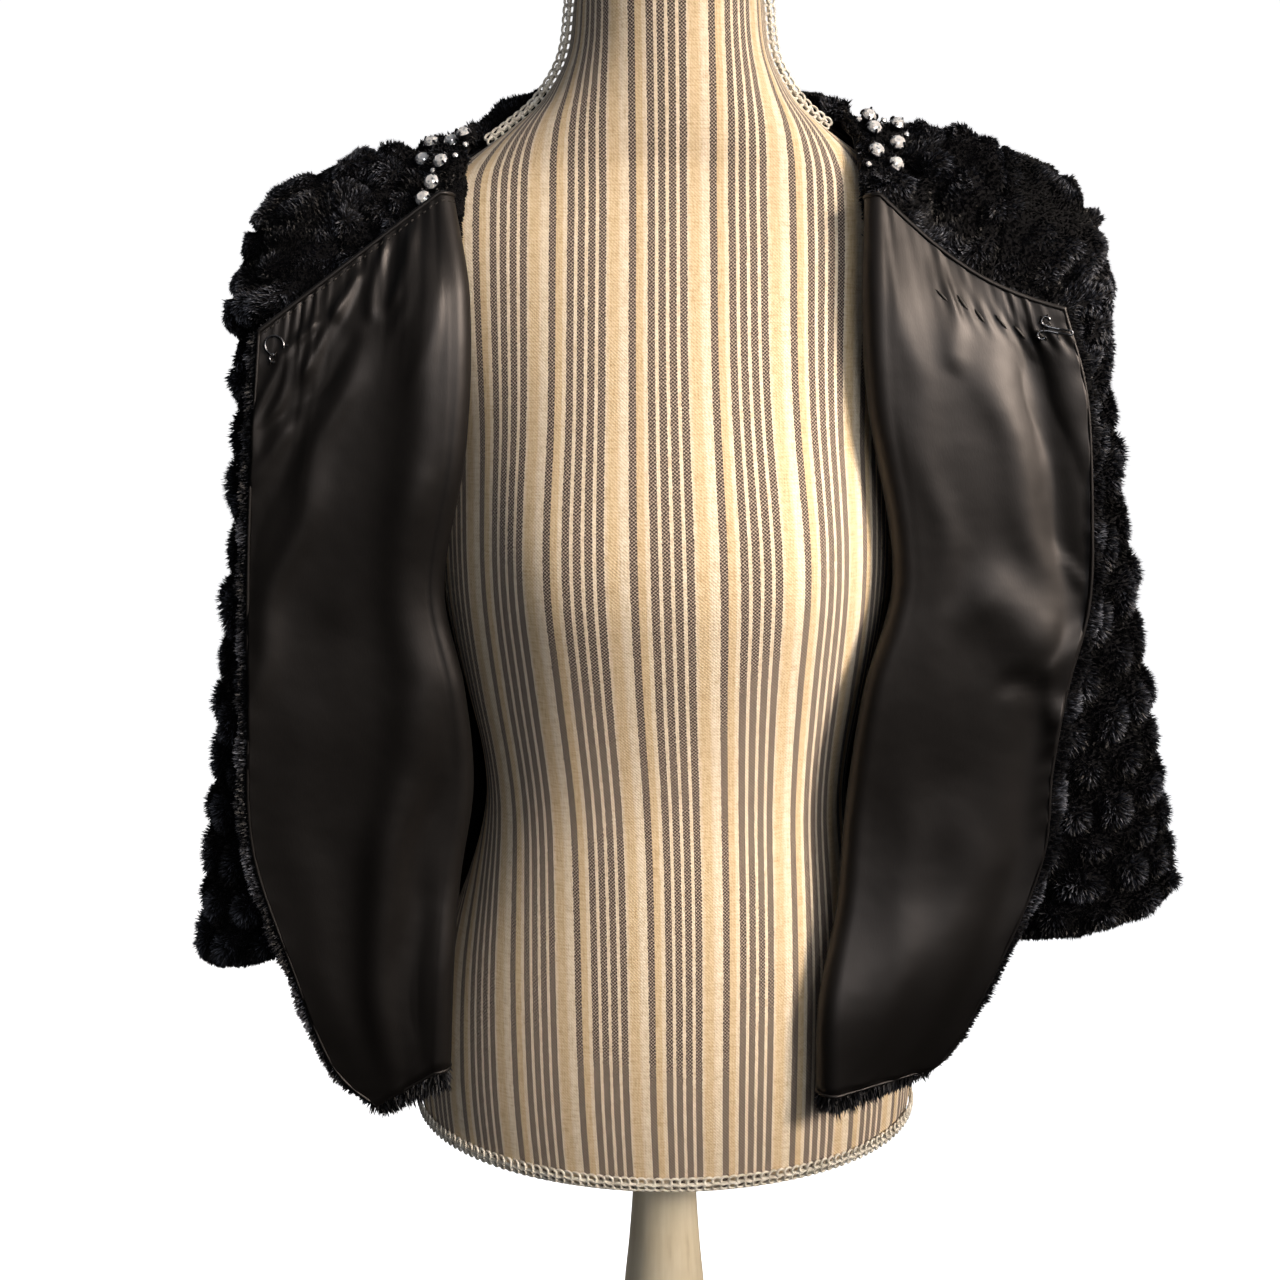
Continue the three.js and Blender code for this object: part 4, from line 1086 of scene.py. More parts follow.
def front_border(u, v, length):
    """Density, outward lean and length of the pile at a front's edges, where it shows past the lining"""
    ragged = 0.75 + 0.45 * waves(u * 6, v * 9, 71, 6, 3, 9)
    at_edge = ease((u - (1 - 1.2 * INSET_U)) / (0.6 * INSET_U))
    at_hem = ease((v - (1 - 1.5 * INSET_V)) / (0.8 * INSET_V))
    at_neck = ease((0.35 * INSET_V - v) / (0.35 * INSET_V)) * ease((u - 0.3) / 0.15)
    seen = np.where(u < ROLL_FROM, 1.0, np.where(u < ROLL_TO, 0.3, 0.3))
    edge = np.clip(at_edge + at_hem + at_neck, 0, 1)
    dense_out = np.maximum(seen, edge)
    inside = np.where((u > 1 - 0.6 * INSET_U) | (v > 1 - 0.9 * INSET_V), 1.2, 0.0)
    long = np.where(edge > 0.05, (4.2 + 3.2 * at_hem - 1.2 * at_neck) * np.clip(ragged, 0.35, 1.3), length)
    return dense_out, inside, at_edge, at_hem - at_neck, long


def cuff_border(u, v, length):
    """The same at a sleeve's cuff"""
    at_hem = ease((v - 0.975) / 0.02)
    inside = np.where(v > 0.985, 1.0, 0.0)
    return np.ones(u.shape), inside, np.zeros(u.shape), at_hem, length * (1 + 0.1 * at_hem)


def back_border(u, v, length):
    """The same at the back's hem and neck"""
    at_hem = ease((v - 0.975) / 0.02)
    at_neck = ease((0.02 - v) / 0.02)
    inside = np.where((v > 1 - INSET_V) | (v < 0.01), 1.0, 0.0)
    return np.ones(u.shape), inside, np.zeros(u.shape), at_hem - at_neck, length * (1 + 0.2 * at_hem)


def lining_relief(name, u, v):
    """Creases, gathers and stitches' puckers of a front lining in millimetres, placed one by one"""
    w = np.clip((u - ROLL_TO) / (1 - ROLL_TO), 0, 1)
    flap = ease((u - ROLL_TO) / 0.03)
    relief = 0.5 * waves(u, v, 31 if name == "right" else 47, 8, 1.5, 5)

    def ridge(w0, v0, w1, v1, high, wide):
        """Soft ridge (or trough) along a line that fades at both ends"""
        d = np.array([w1 - w0, (v1 - v0) * 4.2])
        long = np.hypot(*d)
        d = d / long
        a = (w - w0) * d[0] + (v - v0) * 4.2 * d[1]
        b = -(w - w0) * d[1] + (v - v0) * 4.2 * d[0]
        fade = ease((a / long + 0.12) / 0.3) * ease((1.12 - a / long) / 0.3)
        b = b + 0.03 * np.sin(a * 9 + w0 * 20)
        return 0.75 * high * fade * np.exp(-((b / (1.15 * wide)) ** 2))

    if name == "right":
        lines = [
            (0.46, 0.1, 1.02, 0.56, 4.2, 0.075),
            (0.62, 0.1, 1.05, 0.4, -2.0, 0.06), (0.3, 0.16, 0.8, 0.62, -0.9, 0.12),
            (0.16, 0.02, 0.24, 0.12, 2.0, 0.04), (0.06, 0.03, 0.14, 0.2, 1.4, 0.05),
            (0.62, 0.02, 0.78, 0.2, 2.0, 0.05),
            (0.1, 0.55, 0.55, 0.95, 2.0, 0.1), (0.72, 0.5, 0.8, 0.9, 1.6, 0.1),
            (0.1, 0.3, 0.5, 0.44, 2.2, 0.12), (0.16, 0.62, 0.2, 0.95, -1.6, 0.07),
            (0.12, 0.016, 0.3, 0.085, 3.0, 0.035),
            (0.3, 0.012, 0.36, 0.09, 3.0, 0.03), (0.4, 0.03, 0.56, 0.06, 3.2, 0.035),
            (0.55, 0.035, 0.68, 0.12, 3.4, 0.04),
            (0.62, 0.05, 0.84, 0.075, 2.8, 0.035), (0.74, 0.07, 0.9, 0.15, 3.2, 0.04),
            (0.86, 0.06, 0.97, 0.2, 3.0, 0.035),
            (0.46, 0.09, 0.7, 0.15, -2.4, 0.05), (0.8, 0.16, 0.98, 0.24, 2.4, 0.05),
        ]
    else:
        lines = [
            (0.7, 0.08, 0.98, 0.46, -3.0, 0.07),
            (0.5, 0.14, 0.82, 0.5, 2.4, 0.09), (0.3, 0.42, 0.98, 0.5, 6.0, 0.15),
            (0.84, 0.5, 0.99, 0.63, 4.5, 0.07), (0.6, 0.52, 1.0, 0.56, -2.4, 0.06),
            (0.86, 0.34, 1.0, 0.44, 2.6, 0.05),
            (0.3, 0.03, 0.36, 0.16, 1.8, 0.05),
            (0.1, 0.05, 0.2, 0.5, 1.8, 0.08), (0.2, 0.6, 0.34, 0.95, 1.8, 0.1),
            (0.5, 0.66, 0.62, 0.95, 1.6, 0.1),
        ]
    for line in lines:
        relief = relief + ridge(*line)
    swing = 2 * np.pi * (w * (15 if name == "right" else 11) + 0.45 * np.sin(7 * w + 1) - v * 9)
    gather = np.sin(swing) + 0.5 * np.sin(1.8 * swing + 2 + v * 40)
    neck = np.exp(-v / (0.05 + 0.025 * np.sin(w * 11))) * ease(v / 0.012 + 0.25)
    strong = 0.9 if name == "right" else 0.5
    relief = relief + strong * gather * neck * (0.6 + 0.4 * np.sin(w * 17 + 2))
    if name == "left":
        # Puckers that the pick stitches pull in
        pull = np.exp(-(((v - 0.06) / 0.02) ** 2))
        relief = relief + 0.5 * np.sin(2 * np.pi * (w * 11.5 - v * 12)) * pull * ease((w - 0.2) / 0.2)
    hem = np.exp(-np.maximum(1 - 0.75 * INSET_V - v, 0) / 0.02) + np.exp(
        -np.maximum(1 - 0.5 * INSET_U - u, 0) / 0.02
    )
    relief = relief + 0.4 * np.sin(2 * np.pi * (v * 22 + w * 3 + 0.4 * np.sin(v * 19))) * hem
    return relief * flap


class ShrugCloth(bpy.types.PropertyGroup):
    """Sizes and colours of the shrug"""

    pile_length: bpy.props.FloatProperty(
        name="Pile length", description="Length of the fur's hairs in millimetres", default=6.2, min=3,
        max=12)
    pile_density: bpy.props.FloatProperty(
        name="Pile density", description="Hairs on a square metre of fur", default=720000, min=1000)
    hair_width: bpy.props.FloatProperty(
        name="Hair width", description="Width of a lock of hairs at its root", default=0.0015, unit="LENGTH")
    fur_roughness: bpy.props.FloatProperty(
        name="Fur roughness", description="Roughness of the fur's hairs", default=0.5, min=0, max=1)
    satin_roughness: bpy.props.FloatProperty(
        name="Satin roughness", description="Roughness of the lining", default=0.47, min=0, max=1)


class ShrugForm(bpy.types.PropertyGroup):
    """Sizes and colours of the dress form"""

    cream: bpy.props.StringProperty(
        name="Cream yarn", description="White ground of the ticking", default="#e4dac9"
    )
    straw: bpy.props.StringProperty(
        name="Straw yarn", description="Middle of the cream bands", default="#d6c3a3"
    )
    stripe: bpy.props.StringProperty(
        name="Brown yarn", description="Stripe of the ticking", default="#5f5149"
    )
    stripe_dark: bpy.props.StringProperty(
        name="Dark yarn", description="Darkest yarn of the stripe", default="#302926"
    )
    gimp_pitch: bpy.props.FloatProperty(
        name="Gimp pitch", description="Distance from loop to loop of the braid", default=0.005,
        unit="LENGTH")


class ShrugStage(bpy.types.PropertyGroup):
    """Camera and light"""

    key_power: bpy.props.FloatProperty(
        name="Key light", description="Power of the side lamp", default=4.2, unit="POWER"
    )
    fill_power: bpy.props.FloatProperty(
        name="Front panel", description="Power of the large front panel", default=2.2, unit="POWER"
    )
    back_power: bpy.props.FloatProperty(
        name="Back panel", description="Power of the panel behind", default=7.0, unit="POWER"
    )
    room_light: bpy.props.FloatProperty(
        name="Room light", description="Strength of the room's light", default=0.24
    )
    backdrop_glow: bpy.props.FloatProperty(
        name="Backdrop glow", description="Own light of the paper sweep", default=0.92)
    camera_height: bpy.props.FloatProperty(
        name="Camera height", description="Height of the camera over the table",
        default=(FORM_Z + CAMERA_UP) / 1000,
        unit="LENGTH")


MADE = {}


def material_of(name):
    """The material of that name, made when it is first asked for"""
    cloth, form = bpy.context.scene.shrug_cloth, bpy.context.scene.shrug_form
    makers = {
        "fur": lambda: faux_fur(cloth), "backing": fur_backing, "satin": lambda: satin(cloth),
        "ticking": lambda: ticking(form), "braid": cotton_braid, "paint": painted_wood,
        "wire": lambda: plain_metal("gunmetal_plated_wire", "#7b7d82", 0.16),
        "claw": lambda: plain_metal("antiqued_silver_plate", "#3c3d41", 0.3),
        "crystal": foiled_glass, "thread": plain_thread,
    }
    if name not in MADE:
        MADE[name] = makers[name]()
    return MADE[name]


def tree_of(name):
    """The geometry tree of that name, made when it is first asked for"""
    if name not in MADE:
        MADE[name] = {"pile": pile_tree, "loop": loop_tree, "stitch": stitch_tree}[name]()
    return MADE[name]


def grow_pile(shell, name, replaced, density, seed):
    """The hairs on a fur wall, made with its look; the wall goes with them"""
    cloth = bpy.context.scene.shrug_cloth
    pile = grown(shell, tree_of("pile"), name, {
        "Density": density * cloth.pile_density, "Width": cloth.hair_width, "Spread": HAIR_SPREAD,
        "Seed": seed, "Material": material_of("fur"),
    })
    return dress(pile, "fur", replaced)


class SHRUG_OT_back(bpy.types.Operator):
    """Back panel: fur with its pile, and lining"""

    bl_idname = "shrug.back"
    bl_label = "Back"

    def execute(self, context):
        us, vs = np.linspace(-1, 1, 99), np.linspace(0, 1, 105)
        shell = fur_wall(
            "back_fur", whole_back, us, vs, 1,
            lambda u, v: ease((1 - np.abs(u)) / 0.12) * ease(v / 0.07 + 0.62),
            lambda u, v: ((u + 1) * 15, v * 34), 3, border=back_border,
            matted=lambda u, v: 1 - ease((v - 0.1) / 0.1),
        )
        dress(shell, "fur", ["back"], material_of("backing"), material_of("backing"))
        pile = grow_pile(shell, "back_pile", ["back"], 0.72, 3)
        vs = np.linspace(INSET_V, 1 - INSET_V, 49)
        us = np.linspace(-1, 1, 49)
        base, normal, u, v = face_grid(whole_back, us, vs, -1)
        relief = 0.5 + 0.45 * waves(u, v, 61, 8, 1.5, 5)
        uv = np.stack(np.meshgrid(us * 0.21, vs * 0.62), -1)
        far = base + normal * (GAP / 2 + LINING + relief)[..., None]
        lining = wall("back_lining_satin", far, base + normal * (GAP / 2), uv)
        dress(lining, "satin", ["back_lining"], material_of("satin"), material_of("satin"))
        return {"FINISHED"}


class SHRUG_OT_fronts(bpy.types.Operator):
    """Both fronts, thrown open: fur with its pile, lining, seam cord and stitches"""

    bl_idname = "shrug.fronts"
    bl_label = "Fronts"

    def execute(self, context):
        for name, side in SIDES.items():
            self.front(name, side)
        return {"FINISHED"}

    def front(self, name, side):
        """One front and what is sewn to it"""
        sign = side["sign"]

        def face(u, v):
            return front_face(side, u, v)

        us = np.unique(np.concatenate([
            np.linspace(0, ROLL_FROM, 40), np.linspace(ROLL_FROM, ROLL_TO, 8), np.linspace(ROLL_TO, 1, 34)]))
        vs = np.concatenate([np.linspace(0, 0.3, 46), np.linspace(0.3, 1, 76)[1:]])
        shell = fur_wall(
            name + "_front_fur", face, us, vs, sign, lambda u, v: front_share(side, name, u, v),
            front_counts, FRONT_SEEDS[name], border=front_border,
            matted=lambda u, v: np.where(u < ROLL_FROM, 1 - ease((v - 0.26) / 0.12), 0),
        )
        dress(shell, "fur", [name + "_front"], material_of("backing"), material_of("backing"))
        pile = grow_pile(shell, name + "_front_pile", [name + "_front"], 0.95, FRONT_SEEDS[name])

        far_u, top_v, low_v = 1 - 0.5 * INSET_U, 0.15 * INSET_V, 1 - 0.75 * INSET_V
        us = np.unique(np.concatenate([
            np.linspace(0, ROLL_FROM, 8), np.linspace(ROLL_FROM, ROLL_TO, 10), np.linspace(
                ROLL_TO, far_u, 80
            )]))
        vs = np.concatenate([np.linspace(top_v, 0.2, 56), np.linspace(0.2, low_v, 81)[1:]])
        base, normal, u, v = face_grid(face, us, vs, -sign)
        uv = np.stack(np.meshgrid(us * 0.26, vs * 0.55), -1)
        far = base + normal * self.height(name, u, v)[..., None]
        lining = wall(name + "_lining_satin", far, base + normal * (GAP / 2), uv)
        dress(lining, "satin", [name + "_front_lining"], material_of("satin"), material_of("satin"))

        # Rolled edge of the lining, and the stitches beside it
        across = np.linspace(ROLL_FROM - 0.02, far_u, 110)
        down = np.linspace(top_v, low_v, 220)
        u = np.concatenate([across, np.full(len(down) - 1, across[-1]), across[::-1][1:]])
        v = np.concatenate([np.full(len(across), down[0]), down[1:], np.full(len(across) - 1, down[-1])])
        line, away = self.line(face, u, v, -sign, GAP / 2 + 1.3)
        line = line - away * np.where(v < 0.5, 0, 0.2)[:, None]
        cord = tube(
            name + "_edge_roll", line, np.where(v < top_v + 1e-6, 1.35, 1.0) + 0.2 * waves(u, v, 5), 8
        )
        dress(cord, "satin", [name + "_front_lining"], material_of("satin"))
        inside_u = np.linspace(ROLL_FROM + 0.02, far_u - 0.02, 120)
        low = top_v + 0.008
        if name == "left":
            inside_u = ROLL_TO + (1 - ROLL_TO) * np.linspace(0.3, 0.8, 90)
            low = 0.06 + 0.004 * np.sin(inside_u * 60)
        height = self.height(name, inside_u, low + 0 * inside_u)
        line, away = self.line(face, inside_u, low + 0 * inside_u, -sign, 0)
        line = line + away * (height + 0.1)[:, None]
        stitches = repeated(line, away, tree_of("stitch"), name + "_neck_stitches", {
            "Pitch": 0.0042 if name == "right" else 0.0125, "Length": 0.003 if name == "right" else 0.0105,
            "Thread": 0.00045 if name == "right" else 0.0009, "Turn": 0.15 if name == "right" else -0.5,
            "Material": material_of("thread")})
        dress(stitches, "satin", [name + "_front_lining"])

    def height(self, name, u, v):
        """Height of the lining's shown face over the face that it is sewn to"""
        return GAP / 2 + LINING + np.maximum(lining_relief(name, u, v) + 0.3, -1.0)

    def line(self, face, u, v, flip, lift):
        """Points over a face and the direction away from it"""
        step = 1e-3
        du = face(np.minimum(u + step, 1), v) - face(u - step, v)
        dv = face(u, np.minimum(v + step, 1)) - face(u, np.maximum(v - step, 0))
        away = unit(np.cross(du, dv)) * flip
        return face(u, v) + away * lift, away


class SHRUG_OT_sleeves(bpy.types.Operator):
    """Both sleeves: open tubes of fur with their pile"""

    bl_idname = "shrug.sleeves"
    bl_label = "Sleeves"

    def execute(self, context):
        for name, side in SIDES.items():
            us = np.linspace(0, 1, 93)[:-1]
            vs = np.linspace(0, 1, 109)

            def rise(u, v):
                """How far the pile stands up on a sleeve: lower at the head and in the armpit"""
                under = np.maximum(0, -np.cos(2 * np.pi * u))
                over = np.maximum(0, np.cos(2 * np.pi * u))
                head = 0.55 * over + (1 - 0.55 * over) * ease(v / (0.07 + 0.15 * over))
                armpit = 1 - 0.75 * under * (1 - ease((v - 0.05) / 0.35))
                return head * armpit

            shell = fur_wall(
                name + "_sleeve_fur", lambda u, v: sleeve_face(side, u, v), us, vs, side["sign"], rise,
                lambda u, v: (u * SLEEVE_ROUND, v * 32), SLEEVE_SEEDS[name], True, cuff_border,
                lambda u, v: (1 - ease((v - 0.2) / 0.14)) * ease(0.8 + np.cos(2 * np.pi * u)),
            )
            dress(shell, "fur", [name + "_sleeve"], material_of("backing"), material_of("satin"))
            pile = grow_pile(shell, name + "_sleeve_pile", [name + "_sleeve"], 0.9, SLEEVE_SEEDS[name])
        return {"FINISHED"}


class SHRUG_OT_stones(bpy.types.Operator):
    """Crystal clusters beside the neck: cut stones in claw settings"""

    bl_idname = "shrug.stones"
    bl_label = "Crystal trims"

    def execute(self, context):
        for name, side in SIDES.items():
            self.cluster(name, stone_spots(name))
        return {"FINISHED"}

    def cluster(self, name, spots):
        """Stones and settings of one side"""
        stones, claws = [], []
        rng = np.random.default_rng(8 if name == "right" else 9)
        for k, (place, normal, d) in enumerate(spots):
            sides = 12 if d > 5 else 8
            out = unit(normal + np.array([0, -0.55, 0.1]) + np.append(rng.uniform(-0.18, 0.18, 2), 0))
            right = unit(np.cross([0.2, 0, 1], out))
            axes = np.stack([right, np.cross(out, right), out])
            turn = rng.uniform(0, 6.28)

            def local(points):
                p = np.asarray(points, float)
                c, s = math.cos(turn), math.sin(turn)
                p = p @ np.array([[c, s, 0], [-s, c, 0], [0, 0, 1]])
                return place + (p + [0, 0, 0.12 * d]) @ axes

            a = 2 * np.pi * np.arange(sides) / sides
            rings = []
            for r, h in ((0.3, -0.05), (0.47, 0.1), (0.5, 0.16), (0.43, 0.27), (0.27, 0.4)):
                shift = np.pi / sides if h in (0.27, 0.1) else 0
                rings.append(np.stack(
                    [r * d * np.cos(a + shift), r * d * np.sin(a + shift), np.full(sides, h * d)], 1
                ))
            stones.append(rings_object("stone%d" % k, local(np.array(rings)), smooth=False))
            cup = [np.stack([r * d * np.cos(a), r * d * np.sin(a), np.full(sides, h * d)], 1)
                   for r, h in (
                       (0.3, -0.22), (0.5, -0.12), (0.56, 0.14), (0.51, 0.16), (0.44, 0.0), (0.3, -0.1)
                   )]
            claws.append(rings_object("cup%d" % k, local(np.array(cup)), smooth=False))
            for q in range(4):
                angle = math.pi / 4 + q * math.pi / 2
                way = np.array([math.cos(angle), math.sin(angle), 0])
                path = [way * r * d + [0, 0, h * d] for r, h in (
                    (0.55, -0.04), (0.57, 0.16), (0.5, 0.3), (0.4, 0.33)
                )]
                claws.append(tube("claw%d_%d" % (k, q), local(path), 0.075 * d, 6))
        trims = [name + "_jewel_trim"]
        dress(join(name + "_stones", stones), "crystal", trims, material_of("crystal"))
        dress(join(name + "_settings", claws), "crystal", trims, material_of("claw"))


class SHRUG_OT_fastener(bpy.types.Operator):
    """Bent-wire eye and hook on the linings, with the thread that sews them down"""

    bl_idname = "shrug.fastener"
    bl_label = "Hook and eye"

    def execute(self, context):
        def arc(cx, cy, r, start, end, n):
            a = np.radians(np.linspace(start, end, n * 2 + 1))
            return [(cx + r * math.cos(t), cy + r * math.sin(t), 0) for t in a]

        def leg(y, way):
            return [(t if way > 0 else 6.5 - t, y, 0) for t in np.linspace(-2.5, 9, 9)]

        eye = arc(-4.3, 4.6, 2.3, 20, 300, 7) + arc(0, -1, 5.2, 125, 415, 12) + arc(
            4.3, 4.6, 2.3, 240, 520, 7
        )
        hook = arc(-4.6, -3.9, 2.3, 350, 80, 7) + leg(-1.1, 1) + arc(9.6, 0, 1.1, -80, 80, 4) + leg(1.1, -1)
        hook += arc(-4.6, 3.9, 2.3, -80, -350, 7)
        hook = [(x, y, 3.2 * math.sin(min(1, (x - 5) / 4) * math.pi / 2) if x > 5 else 0) for x, y, _ in hook]
        for node_name, side_name, path, rings in (
            ("eye", "right", eye, [(-4.3, 4.6), (4.3, 4.6)]),
            ("hook", "left", hook, [(-4.6, -3.9), (-4.6, 3.9)])
        ):
            to = self.corner(SIDES[side_name])
            wire = tube(node_name + "_wire", to(np.array(path) + [0, 0, WIRE_UP]), WIRE, 10)
            dress(wire, "metal", [node_name], material_of("wire"))
            threads = []
            for x, y in rings:
                for angle in (0.4, 1.5, 2.6, 3.7, 4.8):
                    way = np.array([math.cos(angle), math.sin(angle), 0])
                    centre = np.array([x, y, 0.0])
                    line = [centre + way * r + [0, 0, h] for r, h in (
                        (1.0, 1.4), (1.6, 2.9), (2.4, 3.6), (3.3, 3.0), (3.9, 1.4)
                    )]
                    threads.append(tube("thread", to(np.array(line)), 0.28, 6))
            dress(join(node_name + "_sewing", threads), "metal", [node_name], material_of("thread"))
        return {"FINISHED"}

    def corner(self, side):
        """Frame on a front's lining: across to the free edge, down, and towards the camera"""

        def spot(a, b):
            return front_face(side, np.array([a]), np.array([b]))[0]

        u, v = FASTENER_PLACE
        p = spot(u, v)
        across = unit(spot(u + 0.02, v) - spot(u - 0.02, v))
        down = spot(u, v + 0.02) - spot(u, v - 0.01)
        down = unit(down - (down @ across) * across)
        up = np.cross(across, down)
        if up[1] > 0:
            up = -up
        return lambda q: p + q @ np.stack([across, down, up])


class SHRUG_OT_form(bpy.types.Operator):
    """Dress form: ticking cover, and the braid on its neck and round its base"""

    bl_idname = "shrug.form"
    bl_label = "Dress form"

    def outline(self, z, angle, grow=0.0):
        """Form's outline at heights and angles from +X, in millimetres"""
        row = form_row(z)
        c, s = np.cos(angle), np.sin(angle)
        depth = np.where(s < 0, row[..., 1], row[..., 2]) + grow
        bust = 5 * np.exp(-(((z - 375) / 55) ** 2)) * np.exp(-(((np.abs(c) - 0.5) / 0.22) ** 2)) * (s < 0)
        crease = 1.6 * np.exp(-(((z - 603 + 4 * c**2) / 3.5) ** 2)) * ease((0.34 - np.abs(c)) / 0.2) * (s < 0)
        y = depth * s - bust + crease
        return np.stack([(row[..., 0] + grow) * c, y, z + 0 * c], -1)

    def execute(self, context):
        heights = np.concatenate([[0, 1, 2.5, 4.5], np.linspace(6, 716, 150), [718.5, 720.5, 721.6, 722]])
        sides = 128
        angles = -np.pi / 2 + 2 * np.pi * np.arange(sides + 1) / sides
        z, angle = np.meshgrid(heights, angles, indexing="ij")
        points = self.outline(z, angle)
        around = points - np.roll(points, 1, 1)
        around[:, 0] = 0
        run = np.cumsum(np.linalg.norm(around, axis=-1), 1)
        run = np.where(run > run[:, -1:] / 2, run - run[:, -1:], run)
        half = np.abs(run[:, sides // 4])[:, None]
        pressed = ease((z - 590) / 60)
        run = run * (1 + 0.5 * pressed * np.minimum(np.abs(run) / half, 1.2) ** 4)
        band = along(STRIPES, z)
        repeat = (run - band[..., 1]) / band[..., 0]
        uv = np.stack([repeat, z / 44], -1)
        # The stripes are laid both ways from the middle of the front and meet in one column at the back seam
        torso = rings_object("ticking_cover", points[:, :-1], uv=uv)
        dress(torso, "ticking", ["torso"], material_of("ticking"))
        self.base_gimp(context)
        for name, side in SIDES.items():
            self.neck_gimp(context, name, side)
        return {"FINISHED"}

    def base_gimp(self, context):
        """Braid round the form's lower edge"""
        form = context.scene.shrug_form
        angle = 2 * np.pi * np.arange(360) / 360
        z = np.full(360, 9.0)
        line = self.outline(z, angle, 2.2)
        away = unit(line * [1, 1, 0])
        self.braid("base_gimp_braid", "base_gimp", line, away, np.array([0, 0, 1.0]), form.gimp_pitch, True)

    def neck_gimp(self, context, name, side):
        """Braid down one side of the neck to where the garment covers it"""
        low = side["neck"][0] - 6
        z = np.linspace(600, 714, 400)
        a = form_row(z)[:, 0]
        z, a = z[a < low], a[a < low]
        b = form_row(z)[:, 1]
        x = a * np.sqrt(1 - (GIMP_Y / b) ** 2)
        t = unit(np.stack([np.gradient(x), 0 * x, np.gradient(z)], 1))
        turn = np.arctan(GIMP_Y * a / b**2)
        away = np.stack([t[:, 2] * np.cos(turn), -np.sin(turn), -t[:, 0] * np.cos(turn)], 1)
        out = unit(away)
        away = unit(out * 0.62 + np.array([0, -0.78, 0]))
        wide = unit(np.cross(t, away)) * [side["sign"], 1, 1]
        line = (np.stack([x, np.full(len(x), -GIMP_Y), z], 1) + out * 2.4) * [side["sign"], 1, 1]
        away = away * [side["sign"], 1, 1]
        pitch = context.scene.shrug_form.gimp_pitch
        self.braid(name + "_neck_gimp_braid", name + "_neck_gimp", line, away, wide, pitch, False)

    def braid(self, name, replaced, line, away, wide, pitch, closed):
        """Two rows of cord loops that overlap along a line, a flat tape under them and a cord that weaves
        along the middle
        """
        parts = []
        for k, (shift, lift) in enumerate(((1.9, 0.4), (-1.9, 0.1))):
            parts.append(repeated(line + wide * shift + away * lift, away, tree_of("loop"), "loops%d" % k, {
                "Pitch": pitch, "Long": 0.0029, "Wide": 0.0022,
                "Cord": 0.0008, "Tilt": 0.12 * (1 if k else -1),
                "Material": material_of("braid")}, closed))
        count = len(line)
        step = 2 * np.pi * np.arange(count) * 0.9 * (np.linalg.norm(line[1] - line[0]) / (pitch * 1000))
        wave = np.sin(step)[:, None]
        centre = tube("cord", line + wide * wave * 0.7 + away * 0.9, 0.85, 6, closed)
        tape = tube("tape", line - away * 0.9, 0.6, 4, closed)
        for part in (centre, tape):
            part.data.materials.append(material_of("braid"))
        parts += [centre, tape]
        whole = join(name, parts)
        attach(whole, "root")
        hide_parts(replaced)


class SHRUG_OT_stand(bpy.types.Operator):
    """Turned pole and foot"""

    bl_idname = "shrug.stand"
    bl_label = "Stand"

    def execute(self, context):
        pole = [
            [-0.4, 20], [-40, 20.5], [-78, 22.6], [-110, 25],
            [-139, 27.8], [-180, 30], [-225, 33], [-265, 40],
            [-302.6, 56],
        ]
        foot = [
            [-303, 58], [-303.2, 70], [-305.5, 120], [-309, 146],
            [-311, 149], [-314, 150], [-327, 150], [-329, 149],
            [-330, 146],
        ]
        self.turned("pole_turning", "pole", pole, 60)
        self.turned("foot_turning", "foot", foot, 40)
        return {"FINISHED"}

    def turned(self, name, replaced, rows, count):
        """A lathe solid from heights and radii"""
        rows = np.array(rows[::-1], float)
        if replaced == "pole":
            z = np.linspace(rows[0, 0], rows[-1, 0], count)
            r = along(rows, z)[:, 0]
        else:
            z, r = rows[:, 0], rows[:, 1]
        a = 2 * np.pi * np.arange(64) / 64
        rings = np.stack([r[:, None] * np.cos(a), r[:, None] * np.sin(a), z[:, None] + 0 * a], -1)
        piece = rings_object(name, rings)
        edges = piece.modifiers.new("edges", "EDGE_SPLIT")
        edges.split_angle = math.radians(50)
        dress(piece, "paint", [replaced], material_of("paint"))


